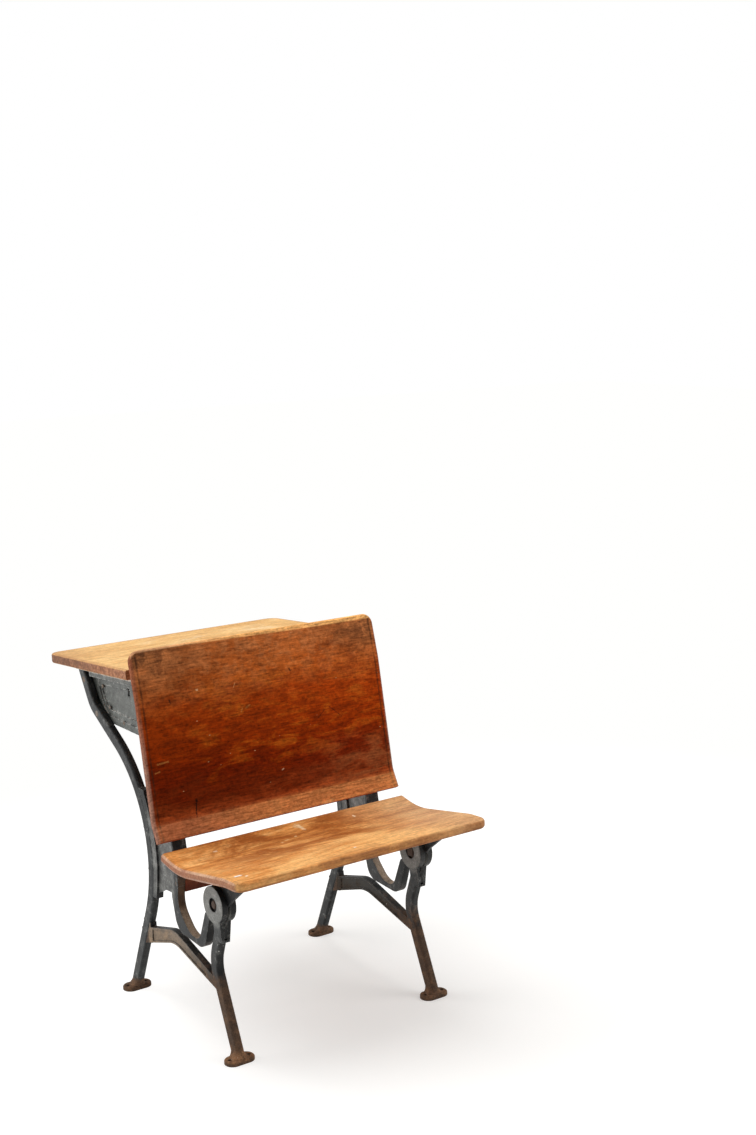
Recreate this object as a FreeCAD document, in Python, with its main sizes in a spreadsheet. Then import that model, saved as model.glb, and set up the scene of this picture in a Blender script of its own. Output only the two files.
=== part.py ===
import FreeCAD, Part
import math
import os
import Sketcher

# A school desk with a lift lid and a folding seat, carried by two pairs of iron castings.
# X runs across the desk, Y from the seat to the desk, Z up. The floor is Z = 0 and the
# origin lies under the middle of the desk. All sizes are in millimetres.

SIZES = {
    # the two pairs of castings
    "standard_spacing": 460,
    "casting_width": 16,
    "front_foot_y": -273.17,
    "foot_pitch": 415,
    "foot_length": 61,
    "foot_width": 35,
    "foot_thickness": 8,
    "foot_hole_spacing": 42,
    "foot_hole_diameter": 7,
    # rear leg
    "rear_leg_depth": 26,
    "rear_leg_waist_in": 172.5,
    "rear_leg_waist_height": 403,
    "rear_leg_waist_radius": 262,
    "rear_leg_shoulder_out": 136,
    "rear_leg_shoulder_height": 579,
    "rear_leg_shoulder_radius": 60,
    "rear_leg_top_out": 179,
    "leg_edge_radius": 5,
    # front leg, knuckle and brace
    "front_leg_depth": 26,
    "front_leg_width": 17,
    "front_leg_knee_back": 76,
    "front_leg_knee_height": 172,
    "front_leg_knee_radius": 70,
    "front_leg_top_back": 44,
    "front_leg_top_height": 262,
    "hinge_setback": 53,
    "hinge_height": 296,
    "knuckle_radius": 36,
    "knuckle_width": 30,
    "knuckle_stem_drop": 72,
    "knuckle_recess_diameter": 27,
    "knuckle_recess_depth": 6,
    "slot_drop": 68,
    "slot_clearance": 0.4,
    "brace_width": 14,
    "brace_front_height": 128,
    "brace_front_depth": 19,
    "brace_crown_back": 227,
    "brace_crown_top": 188,
    "brace_crown_bottom": 161,
    "brace_crown_radius": 80,
    "brace_rear_height": 137,
    "brace_rear_depth": 34,
    "brace_recess_depth": 2,
    "brace_rim": 4,
    "brace_pad_height": 42,
    "brace_pad_depth": 12,
    "brace_pad_lift": 10,
    # loop behind the seat and the bar that carries the backrest
    "loop_front_back": 142.5,
    "loop_inner_back": 153,
    "loop_inner_drop": 51,
    "loop_floor_back": 104,
    "loop_floor_height": 201,
    "loop_outer_back": 176,
    "loop_base_height": 188,
    "loop_base_radius": 26,
    "loop_radius": 48,
    "loop_edge_depth": 18,
    "back_bar_top_height": 642,
    "back_bar_depth": 18,
    "back_flange_width": 30,
    "back_flange_foot_height": 285,
    "back_flange_waist_height": 350,
    "back_flange_thickness": 5,
    "back_lug_width": 46,
    "back_lug_height": 22,
    "back_lower_lug_height": 432,
    "back_upper_lug_height": 618,
    "web_thickness": 6,
    "web_bottom_height": 262,
    "web_top_height": 448,
    "web_heel_back": 262,
    "web_scoop_back": 268,
    "web_scoop_height": 412,
    "web_scoop_radius": 30,
    "web_rib_width": 15,
    "web_rib_bottom_back": 294,
    "web_rib_waist_back": 280,
    "web_rib_top_back": 332,
    "web_rib_radius": 200,
    "box_lug_depth": 11,
    "box_lug_bottom_height": 562,
    "box_lug_bolt_setback": 3,
    "box_lug_bolt_spacing": 34,
    # backrest
    "back_width": 570,
    "back_thickness": 14,
    "back_bottom_back": 188,
    "back_bottom_height": 386,
    "back_bend_back": 207.6,
    "back_bend_height": 422,
    "back_bend_radius": 60,
    "back_brow_back": 253.8,
    "back_brow_height": 655,
    "back_brow_radius": 150,
    "back_top_back": 280,
    "back_top_height": 746.5,
    "back_corner_radius": 22,
    "board_edge_radius": 4,
    # seat
    "seat_width": 574,
    "seat_thickness": 19,
    "seat_front_overhang": 114,
    "seat_front_height": 386.5,
    "seat_brow_overhang": 62,
    "seat_brow_height": 383.5,
    "seat_brow_radius": 90,
    "seat_dip_back": 112,
    "seat_dip_height": 351.5,
    "seat_dip_radius": 200,
    "seat_rear_back": 172,
    "seat_rear_height": 363,
    "seat_corner_radius": 22,
    "seat_bullnose_radius": 7,
    "seat_arm_thickness": 6,
    "seat_arm_hub_radius": 27,
    "seat_arm_front_overhang": 40,
    "seat_arm_rear_back": 72,
    "seat_arm_front_drop": 21,
    "seat_flange_width": 34,
    "seat_flange_thickness": 5,
    "seat_stop_gap": 0.4,
    "seat_heel_depth": 14,
    # slat between the castings
    "slat_thickness": 15,
    "slat_front_back": 200,
    "slat_bottom_height": 272,
    "slat_height": 68,
    # lid
    "lid_width": 562,
    "lid_depth": 363,
    "lid_front_back": 297,
    "lid_front_height": 706.7,
    "lid_drop": 29.3,
    "lid_thickness": 20,
    "lid_corner_radius": 26,
    "lid_rest_gap": 0.4,
    # book box
    "box_end_thickness": 8,
    "box_rail_width": 28,
    "box_rail_height": 14,
    "box_rail_front_back": 292,
    "box_rail_rear_back": 609,
    "box_lip_width": 24,
    "box_lip_depth": 11,
    "box_lip_rear_back": 556,
    "box_bottom_height": 550,
    "box_end_bottom_back": 512,
    "box_end_heel_back": 566,
    "box_end_heel_height": 577,
    "box_end_heel_radius": 30,
    "box_end_top_back": 598,
    "box_field_step": 2,
    "box_field_rim": 12,
    "box_field_front_gap": 34,
    "box_field_bottom_gap": 27,
    "box_field_top_gap": 29,
    "box_field_low_back": 512,
    "box_field_high_back": 536,
    "box_slot_length": 18,
    "box_slot_width": 7,
    "box_slot_back": 412,
    "box_slot_height": 630,
    "box_board_thickness": 12,
    "box_board_lift": 6,
    "box_front_gap": 11.56,
    "box_rear_foot_back": 478,
    "box_rear_top_back": 552,
    "box_rear_top_height": 657,
    # fasteners
    "hinge_bolt_diameter": 10,
    "hinge_bolt_head_diameter": 17,
    "running_clearance": 0.05,
    "casting_bolt_diameter": 7,
    "casting_bolt_head_diameter": 13,
    "casting_bolt_head_height": 4,
    "casting_nut_width": 12,
    "casting_nut_height": 5,
    "wood_screw_diameter": 4.5,
    "wood_screw_head_diameter": 9,
    "wood_screw_head_height": 2.4,
    "seat_screw_length": 17,
    "back_screw_length": 14,
    "board_screw_length": 30,
    # lid hinges
    "lid_hinge_offset": 150,
    "lid_hinge_width": 60,
    "lid_hinge_leaf": 1.8,
    "lid_hinge_pin_diameter": 3.6,
    "lid_hinge_barrel_radius": 3.4,
    "lid_hinge_reach": 34,
    "lid_hinge_drop": 46,
    "lid_hinge_set_out": 4.6,
    "lid_hinge_joint_gap": 0.4,
    "hinge_screw_length": 10,
}

SHEET_NAME = "Sizes"
LEFT = -1
RIGHT = 1
ACROSS = FreeCAD.Vector(1, 0, 0)


class Size:
    """A length that knows its value and its formula on the sheet."""

    def __init__(self, value, formula):
        self.value = value
        self.formula = formula

    def __add__(self, other):
        other = as_size(other)
        return Size(self.value + other.value, "(%s + %s)" % (self.formula, other.formula))

    def __sub__(self, other):
        other = as_size(other)
        return Size(self.value - other.value, "(%s - %s)" % (self.formula, other.formula))

    def __mul__(self, other):
        other = as_size(other)
        return Size(self.value * other.value, "(%s * %s)" % (self.formula, other.formula))

    def __truediv__(self, other):
        other = as_size(other)
        return Size(self.value / other.value, "(%s / %s)" % (self.formula, other.formula))

    def __neg__(self):
        return Size(-self.value, "(0 - %s)" % self.formula)

    def root(self):
        return Size(math.sqrt(self.value), "sqrt(%s)" % self.formula)


def as_size(number):
    """A plain number as a Size."""
    if isinstance(number, Size):
        return number
    return Size(number, "(%s)" % number)


def cell(name):
    """The Size kept in one cell of the sheet."""
    return Size(SIZES[name], "%s.%s" % (SHEET_NAME, name))


def make_sheet(doc):
    """Write every driving size to the sheet, one named cell each."""
    sheet = doc.addObject("Spreadsheet::Sheet", SHEET_NAME)
    for row, (name, value) in enumerate(SIZES.items(), start=1):
        sheet.set("A%d" % row, name)
        sheet.set("B%d" % row, str(value))
        sheet.setAlias("B%d" % row, name)
    doc.recompute()
    return sheet


doc = FreeCAD.newDocument("school_desk")
make_sheet(doc)

# Places that several pieces share

FRONT_FOOT = cell("front_foot_y")
REAR_FOOT = FRONT_FOOT + cell("foot_pitch")
HALF_SPACING = cell("standard_spacing") / 2
HALF_CASTING = cell("casting_width") / 2
HINGE_Y = FRONT_FOOT + cell("hinge_setback")
HINGE_Z = cell("hinge_height")

BACK_BEND_Y = FRONT_FOOT + cell("back_bend_back")
BACK_BEND_Z = cell("back_bend_height")
BACK_BROW_Y = FRONT_FOOT + cell("back_brow_back")
BACK_BROW_Z = cell("back_brow_height")
BACK_SLOPE = (BACK_BROW_Y - BACK_BEND_Y) / (BACK_BROW_Z - BACK_BEND_Z)
BACK_SECANT = (BACK_SLOPE * BACK_SLOPE + 1).root()
HALF_BACK = cell("back_thickness") / 2

LID_FRONT_Y = FRONT_FOOT + cell("lid_front_back")
LID_SLOPE = -cell("lid_drop") / cell("lid_depth")
LID_SECANT = (LID_SLOPE * LID_SLOPE + 1).root()
HALF_LID = cell("lid_thickness") / 2
LID_FRONT_Z = cell("lid_front_height") - HALF_LID * LID_SECANT
RAIL_TOP = HALF_LID + cell("lid_rest_gap")
RAIL_BOTTOM = RAIL_TOP + cell("box_rail_height")

BOX_INNER_X = HALF_SPACING - HALF_CASTING - cell("box_end_thickness")
BOARD = cell("box_board_thickness")


def back_line(height):
    """Y of the middle of the straight part of the backrest at a height."""
    return BACK_BEND_Y + BACK_SLOPE * (height - BACK_BEND_Z)


def behind_back(height, offset):
    """Y at a distance behind the middle of the backrest, square to it."""
    return back_line(height) + offset * BACK_SECANT


def lid_line(y):
    """Z of the middle of the lid at a Y."""
    return LID_FRONT_Z + LID_SLOPE * (y - LID_FRONT_Y)


def under_lid(y, offset):
    """Z at a distance below the middle of the lid, square to it."""
    return lid_line(y) - offset * LID_SECANT


class Corner:
    """A corner of an outline or a path, rounded where it has a radius."""

    def __init__(self, y, z, radius=None):
        self.y = as_size(y)
        self.z = as_size(z)
        self.radius = None if radius is None else as_size(radius)

    def place(self):
        return FreeCAD.Vector(self.y.value, self.z.value, 0)


SEAT_PATH = [
    Corner(FRONT_FOOT - cell("seat_front_overhang"), cell("seat_front_height")),
    Corner(FRONT_FOOT - cell("seat_brow_overhang"), cell("seat_brow_height"), cell("seat_brow_radius")),
    Corner(FRONT_FOOT + cell("seat_dip_back"), cell("seat_dip_height"), cell("seat_dip_radius")),
    Corner(FRONT_FOOT + cell("seat_rear_back"), cell("seat_rear_height")),
]
BACK_PATH = [
    Corner(FRONT_FOOT + cell("back_bottom_back"), cell("back_bottom_height")),
    Corner(BACK_BEND_Y, BACK_BEND_Z, cell("back_bend_radius")),
    Corner(BACK_BROW_Y, BACK_BROW_Z, cell("back_brow_radius")),
    Corner(FRONT_FOOT + cell("back_top_back"), cell("back_top_height")),
]
REAR_LEG_TOP_Y = REAR_FOOT + cell("rear_leg_top_out")
REAR_LEG_PATH = [
    Corner(REAR_FOOT, cell("foot_thickness") / 2),
    Corner(REAR_FOOT - cell("rear_leg_waist_in"), cell("rear_leg_waist_height"), cell("rear_leg_waist_radius")),
    Corner(REAR_FOOT + cell("rear_leg_shoulder_out"), cell("rear_leg_shoulder_height"),
           cell("rear_leg_shoulder_radius")),
    Corner(REAR_LEG_TOP_Y, under_lid(REAR_LEG_TOP_Y, RAIL_BOTTOM)),
]


# Sketching

def unit(vector):
    """The vector at length one."""
    return FreeCAD.Vector(vector).normalize()


def left_of(direction):
    """The direction turned a quarter turn to the left."""
    return FreeCAD.Vector(-direction.y, direction.x, 0)


def turn_side(before, after):
    """Plus one where a path turns left, minus one where it turns right."""
    return 1 if before.x * after.y - before.y * after.x > 0 else -1


class Drawing:
    """A sketch on one of a body's own origin planes."""

    def __init__(self, body, name, role="YZ_Plane"):
        self.body = body
        self.sketch = body.newObject("Sketcher::SketchObject", name)
        plane = [feature for feature in body.Origin.OriginFeatures if feature.Role == role][0]
        self.sketch.AttachmentSupport = [(plane, "")]
        self.sketch.MapMode = "FlatFace"

    def tie(self, kind, *places):
        self.sketch.addConstraint(Sketcher.Constraint(kind, *places))

    def measure(self, kind, *places, size):
        index = self.sketch.addConstraint(Sketcher.Constraint(kind, *places, size.value))
        self.sketch.setExpression("Constraints[%d]" % index, size.formula)

    def pin(self, item, end, corner):
        """Hold one end of an item at a corner's coordinates."""
        self.measure("DistanceX", -1, 1, item, end, size=corner.y)
        self.measure("DistanceY", -1, 1, item, end, size=corner.z)

    def line(self, start, end, construction=False):
        return self.sketch.addGeometry(Part.LineSegment(start, end), construction)

    def arc(self, middle, radius, start, end):
        """A counter-clockwise arc between two points."""
        first = math.atan2(start.y - middle.y, start.x - middle.x)
        last = math.atan2(end.y - middle.y, end.x - middle.x)
        if last < first:
            last += 2 * math.pi
        circle = Part.Circle(middle, FreeCAD.Vector(0, 0, 1), radius)
        return self.sketch.addGeometry(Part.ArcOfCircle(circle, first, last), False)

    def round_corner(self, before_line, after_line, corner, before, after, radius):
        """Join two lines with a tangent arc; before and after are unit directions."""
        side = turn_side(before, after)
        half_turn = math.acos(max(-1, min(1, before.dot(after)))) / 2
        reach = radius.value * math.tan(half_turn)
        start = corner - before * reach
        end = corner + after * reach
        middle = start + left_of(before) * (side * radius.value)
        if side > 0:
            arc = self.arc(middle, radius.value, start, end)
            self.tie("Tangent", before_line, 2, arc, 1)
            self.tie("Tangent", arc, 2, after_line, 1)
        else:
            arc = self.arc(middle, radius.value, end, start)
            self.tie("Tangent", before_line, 2, arc, 2)
            self.tie("Tangent", arc, 1, after_line, 1)
        self.measure("Radius", arc, size=radius)

    def outline(self, corners):
        """A closed outline with straight sides, rounded at corners with a radius."""
        places = [corner.place() for corner in corners]
        count = len(corners)
        ways = [unit(places[(i + 1) % count] - places[i]) for i in range(count)]
        reaches = []
        for i, corner in enumerate(corners):
            half_turn = math.acos(max(-1, min(1, ways[i - 1].dot(ways[i])))) / 2
            reaches.append(corner.radius.value * math.tan(half_turn) if corner.radius else 0)
        lines = []
        for i in range(count):
            start = places[i] + ways[i] * reaches[i]
            end = places[(i + 1) % count] - ways[i] * reaches[(i + 1) % count]
            lines.append(self.line(start, end))
        for i, corner in enumerate(corners):
            if corner.radius:
                self.round_corner(lines[i - 1], lines[i], places[i], ways[i - 1], ways[i], corner.radius)
                point = self.sketch.addGeometry(Part.Point(places[i]), True)
                self.pin(point, 1, corner)
                self.tie("PointOnObject", point, 1, lines[i - 1])
                self.tie("PointOnObject", point, 1, lines[i])
            else:
                self.tie("Coincident", lines[i - 1], 2, lines[i], 1)
                self.pin(lines[i], 1, corner)

    def spine(self, corners):
        """The construction lines of a path."""
        lines = []
        for first, second in zip(corners, corners[1:]):
            line = self.line(first.place(), second.place(), True)
            if lines:
                self.tie("Coincident", lines[-1], 2, line, 1)
            else:
                self.pin(line, 1, first)
            self.pin(line, 2, second)
            lines.append(line)
        return lines

    def side_chain(self, corners, spine, offset):
        """Lines and arcs at a distance to the left of a path."""
        places = [corner.place() for corner in corners]
        ways = [unit(second - first) for first, second in zip(places, places[1:])]
        shifted = [places[0] + left_of(ways[0]) * offset.value]
        for i in range(1, len(places) - 1):
            sum_of_sides = left_of(ways[i - 1]) + left_of(ways[i])
            scale = 2 * offset.value / sum_of_sides.dot(sum_of_sides)
            shifted.append(places[i] + sum_of_sides * scale)
        shifted.append(places[-1] + left_of(ways[-1]) * offset.value)
        radii = [None]
        for i in range(1, len(places) - 1):
            side = turn_side(ways[i - 1], ways[i])
            radii.append(corners[i].radius - offset * side)
        radii.append(None)
        reaches = []
        for i, radius in enumerate(radii):
            if radius is None:
                reaches.append(0)
                continue
            half_turn = math.acos(max(-1, min(1, ways[i - 1].dot(ways[i])))) / 2
            reaches.append(radius.value * math.tan(half_turn))
        distance = offset if offset.value > 0 else -offset
        lines = []
        for i, way in enumerate(ways):
            line = self.line(shifted[i] + way * reaches[i], shifted[i + 1] - way * reaches[i + 1])
            self.tie("Parallel", line, spine[i])
            self.measure("Distance", spine[i], 1, line, size=distance)
            lines.append(line)
        for i in range(1, len(ways)):
            self.round_corner(lines[i - 1], lines[i], shifted[i], ways[i - 1], ways[i], radii[i])
        return lines

    def band(self, corners, left, right, start_cut=None, end_cut=None):
        """A closed band along a path, from left of it to right of it.

        A cut is the slope of that end; with none, the end is square to the path.
        """
        spine = self.spine(corners)
        left_lines = self.side_chain(corners, spine, left)
        right_lines = self.side_chain(corners, spine, -right)
        self.end_cap(corners[0], spine[0], 1, left_lines[0], right_lines[0], start_cut)
        self.end_cap(corners[-1], spine[-1], 2, left_lines[-1], right_lines[-1], end_cut)

    def end_cap(self, corner, spine_line, end, left_line, right_line, cut):
        geometry = self.sketch.Geometry
        points = []
        for line in (left_line, right_line):
            segment = geometry[line]
            points.append(segment.StartPoint if end == 1 else segment.EndPoint)
        if cut is not None:
            place = corner.place()
            slope = FreeCAD.Vector(1, cut.value, 0)
            moved = []
            for line, point in zip((left_line, right_line), points):
                segment = geometry[line]
                way = unit(segment.EndPoint - segment.StartPoint)
                gap = place - point
                along = (gap.x * slope.y - gap.y * slope.x) / (way.x * slope.y - way.y * slope.x)
                moved.append(point + way * along)
            points = moved
        cap = self.line(points[0], points[1])
        self.tie("Coincident", cap, 1, left_line, end)
        self.tie("Coincident", cap, 2, right_line, end)
        self.tie("PointOnObject", spine_line, end, cap)
        if cut is None:
            self.tie("Perpendicular", cap, spine_line)
            return
        run = as_size(50)
        guide_end = Corner(corner.y + run, corner.z + run * cut)
        guide = self.line(corner.place(), guide_end.place(), True)
        self.tie("Coincident", guide, 1, spine_line, end)
        self.pin(guide, 2, guide_end)
        self.tie("Parallel", guide, cap)

    def circle(self, corner, radius):
        """A circle about a corner."""
        circle = Part.Circle(corner.place(), FreeCAD.Vector(0, 0, 1), radius.value)
        index = self.sketch.addGeometry(circle, False)
        self.pin(index, 3, corner)
        self.measure("Radius", index, size=radius)

    def pad(self, name, width, side=None):
        """Thicken the sketch to both sides of its plane, or to one side only."""
        feature = self.body.newObject("PartDesign::Pad", name)
        return self.extrude(feature, width, side)

    def pocket(self, name, depth, side=None):
        """Cut the sketch out, to both sides of its plane or to one side only."""
        before = self.body.Shape.Volume
        feature = self.body.newObject("PartDesign::Pocket", name)
        self.extrude(feature, depth, side)
        if self.body.Shape.Volume > before - 1:
            raise RuntimeError("%s cuts nothing" % name)
        return feature

    def extrude(self, feature, width, side):
        feature.Profile = self.sketch
        feature.setExpression("Length", as_size(width).formula)
        if side is None:
            feature.SideType = "Symmetric"
        else:
            feature.Reversed = side < 0
        self.sketch.Visibility = False
        doc.recompute()
        return feature


def new_body(label, x=None):
    """An empty body, set sideways by x."""
    body = doc.addObject("PartDesign::Body", label)
    body.Label = label
    if x is not None:
        body.setExpression("Placement.Base.x", x.formula)
        doc.recompute()
    return body


def round_edges(body, name, radius, chosen):
    """Round the edges of a body that a test picks."""
    base = body.Tip
    names = ["Edge%d" % (i + 1) for i, edge in enumerate(base.Shape.Edges) if chosen(edge)]
    if not names:
        raise RuntimeError("%s finds no edges" % name)
    fillet = body.newObject("PartDesign::Fillet", name)
    fillet.Base = (base, names)
    fillet.setExpression("Radius", radius.formula)
    doc.recompute()
    if not fillet.isValid():
        raise RuntimeError("%s fails" % name)
    return fillet


def side_x(side):
    """Sideways place of a pair of castings."""
    return HALF_SPACING * side


# Fasteners, placed by their head and the way they point

def point(x, corner):
    """A place in space from a sideways distance and a side-view corner."""
    return FreeCAD.Vector(x, corner.y.value, corner.z.value)


def countersunk(start, way, length, diameter, head_diameter, head_height):
    """A screw whose head is flush with the face at its start."""
    shank = Part.makeCylinder(diameter / 2, length, start, way)
    head = Part.makeCone(head_diameter / 2, diameter / 2, head_height, start, way)
    return shank.fuse(head).removeSplitter()


def round_head(start, way, length, diameter, head_diameter, head_height):
    """A screw whose domed head stands on the face at its start."""
    shank = Part.makeCylinder(diameter / 2, length, start, way)
    head = Part.makeCylinder(head_diameter / 2, head_height, start - way * head_height, way)
    rim = [edge for edge in head.Edges if (edge.CenterOfMass - (start - way * head_height)).Length < 0.01]
    head = head.makeFillet(head_height * 0.6, rim)
    return shank.fuse(head).removeSplitter()


def square_nut(start, way, width, height, bore):
    """A square nut that stands on the face at its start."""
    blank = Part.makeBox(width, width, height, FreeCAD.Vector(-width / 2, -width / 2, 0))
    blank = blank.cut(Part.makeCylinder(bore / 2, height))
    blank.Placement = FreeCAD.Placement(start, FreeCAD.Rotation(FreeCAD.Vector(0, 0, 1), way))
    return blank


def wood_screw(start, way, length, domed=False):
    """A wood screw of the size used all over the desk."""
    maker = round_head if domed else countersunk
    return maker(start, way, length, SIZES["wood_screw_diameter"], SIZES["wood_screw_head_diameter"],
                 SIZES["wood_screw_head_height"])


def group(label, shapes):
    """Fasteners of one kind, as one node of separate solids."""
    feature = doc.addObject("Part::Feature", label)
    feature.Label = label
    feature.Shape = Part.makeCompound(shapes)
    feature.Placement = FreeCAD.Placement()
    return feature


def finish(label, blank, tools):
    """The blank with the room of its fasteners and neighbours cut out."""
    tool = doc.addObject("Part::Compound", label + "_cutters")
    tool.Links = tools
    cut = doc.addObject("Part::Cut", label)
    cut.Label = label
    cut.Base = blank
    cut.Tool = tool
    doc.recompute()
    return cut


# Castings

def is_long_edge(edge):
    """Whether an edge runs up a leg rather than across its end."""
    box = edge.BoundBox
    return box.XLength < 0.01 and box.ZLength > 8


def foot(body, foot_y):
    """The oval foot with its two screw holes, in the body's own frame."""
    half_length = cell("foot_length") / 2
    half_width = cell("foot_width") / 2
    end_radius = half_width - 0.5
    corners = []
    for x_sign, y_sign in ((-1, -1), (1, -1), (1, 1), (-1, 1)):
        corners.append(Corner(half_length * x_sign, foot_y + half_width * y_sign, end_radius))
    drawing = Drawing(body, "foot_outline", "XY_Plane")
    drawing.outline(corners)
    drawing.pad("foot", cell("foot_thickness"), RIGHT)
    rim_height = SIZES["foot_thickness"]

    def upper_rim(edge):
        box = edge.BoundBox
        level = box.ZMin > rim_height - 0.01 and box.ZMax < rim_height + 0.01
        return level and max(-box.XMin, box.XMax) > SIZES["casting_width"]

    round_edges(body, "foot_rim", cell("foot_thickness") * 0.4, upper_rim)


def foot_holes(body, foot_y):
    """The two screw holes through a foot."""
    drawing = Drawing(body, "foot_hole_circles", "XY_Plane")
    half = cell("foot_hole_spacing") / 2
    for sign in (LEFT, RIGHT):
        drawing.circle(Corner(half * sign, foot_y), cell("foot_hole_diameter") / 2)
    drawing.pocket("foot_holes", cell("foot_thickness") * 4)


def rear_leg_blank(label, side):
    """The curved rear leg from its foot to the underside of the box rail."""
    body = new_body(label, side_x(side))
    drawing = Drawing(body, "leg_outline")
    half = cell("rear_leg_depth") / 2
    drawing.band(REAR_LEG_PATH, half, half, start_cut=as_size(0), end_cut=LID_SLOPE)
    drawing.pad("leg", cell("casting_width"))
    round_edges(body, "leg_edges", cell("leg_edge_radius"), is_long_edge)
    foot(body, REAR_FOOT)
    foot_holes(body, REAR_FOOT)
    return body


def seat_standard_blank(label, side):
    """The seat casting: front leg, knuckle, brace, loop, back bar and web."""
    body = new_body(label, side_x(side))
    front_leg(body)
    foot(body, FRONT_FOOT)
    knuckle(body)
    brace(body)
    loop_and_bar(body)
    web(body)
    back_flange(body)
    box_lug(body)
    knuckle_slot(body)
    knuckle_recesses(body)
    brace_recesses(body)
    foot_holes(body, FRONT_FOOT)
    return body


def front_leg(body):
    """The front leg, from its foot up to the knuckle."""
    path = [
        Corner(FRONT_FOOT, cell("foot_thickness") / 2),
        Corner(FRONT_FOOT + cell("front_leg_knee_back"), cell("front_leg_knee_height"),
               cell("front_leg_knee_radius")),
        Corner(FRONT_FOOT + cell("front_leg_top_back"), cell("front_leg_top_height")),
    ]
    drawing = Drawing(body, "front_leg_outline")
    half = cell("front_leg_depth") / 2
    drawing.band(path, half, half, start_cut=as_size(0))
    drawing.pad("front_leg", cell("front_leg_width"))
    round_edges(body, "leg_edges", cell("leg_edge_radius"), is_long_edge)


def knuckle(body):
    """The disc that holds the seat's hinge bolt, with its stem down the leg."""
    disc = Drawing(body, "knuckle_circle")
    disc.circle(Corner(HINGE_Y, HINGE_Z), cell("knuckle_radius"))
    disc.pad("knuckle", cell("knuckle_width"))
    stem = Drawing(body, "knuckle_stem_outline", "XZ_Plane")
    middle = FRONT_FOOT + cell("front_leg_top_back") + 3
    stem.sketch.setExpression("AttachmentOffset.Base.z", (-middle).formula)
    doc.recompute()
    low = HINGE_Z - cell("knuckle_stem_drop")
    high = HINGE_Z - cell("knuckle_radius") / 2
    low_half = cell("front_leg_width") / 2
    high_half = cell("knuckle_width") / 2 - 1.5
    stem.outline([Corner(-low_half, low), Corner(low_half, low), Corner(high_half, high),
                  Corner(-high_half, high)])
    stem.pad("knuckle_stem", cell("front_leg_depth"))


BRACE_FRONT_Y = FRONT_FOOT + cell("front_leg_top_back") + 8
BRACE_REAR_Y = REAR_FOOT - cell("brace_rear_height") / 2 + 5


def brace_side(inset):
    """The arched outline of the brace, drawn in by an inset."""
    crown_y = FRONT_FOOT + cell("brace_crown_back")
    front_half = cell("brace_front_depth") / 2
    rear_half = cell("brace_rear_depth") / 2
    radius = cell("brace_crown_radius")
    return [
        Corner(BRACE_FRONT_Y, cell("brace_front_height") + front_half - inset),
        Corner(BRACE_FRONT_Y, cell("brace_front_height") - front_half + inset),
        Corner(crown_y, cell("brace_crown_bottom") + inset, radius),
        Corner(BRACE_REAR_Y, cell("brace_rear_height") - rear_half + inset),
        Corner(BRACE_REAR_Y, cell("brace_rear_height") + rear_half - inset),
        Corner(crown_y, cell("brace_crown_top") - inset, radius),
    ]


def brace(body):
    """The arched brace between the two legs, with a pad on the rear leg."""
    drawing = Drawing(body, "brace_outline")
    drawing.outline(brace_side(as_size(0)))
    drawing.pad("brace", cell("brace_width"))
    pad = Drawing(body, "brace_pad_outline")
    reach = cell("rear_leg_depth") / 2 + cell("brace_pad_depth")
    height = cell("brace_rear_height") + cell("brace_pad_lift")
    half_pad = cell("brace_pad_height") / 2
    pad.band([Corner(BRACE_REAR_Y - reach, height + 2), Corner(BRACE_REAR_Y, height)], half_pad, half_pad)
    pad.pad("brace_pad", cell("brace_width"))


def brace_recesses(body):
    """The hollow sides that leave rims along the brace."""
    bottom = cell("brace_width") / 2 - cell("brace_recess_depth")
    front_stop = BRACE_FRONT_Y + cell("front_leg_depth") * 2
    rear_stop = BRACE_REAR_Y - cell("rear_leg_depth") * 1.2
    outer = brace_side(cell("brace_rim"))
    corners = [
        between(outer[0], outer[5], front_stop),
        between(outer[1], outer[2], front_stop),
        outer[2],
        between(outer[3], outer[2], rear_stop),
        between(outer[4], outer[5], rear_stop),
        outer[5],
    ]
    for side, name in ((LEFT, "left"), (RIGHT, "right")):
        drawing = Drawing(body, "brace_recess_outline_" + name)
        drawing.sketch.setExpression("AttachmentOffset.Base.z", (bottom * side).formula)
        doc.recompute()
        drawing.outline(corners)
        drawing.pocket("brace_recess_" + name, cell("brace_width"), -side)


def between(first, second, y):
    """The corner at a Y on the straight line from one corner to another."""
    slope = (second.z - first.z) / (second.y - first.y)
    return Corner(y, first.z + slope * (y - first.y))


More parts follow.
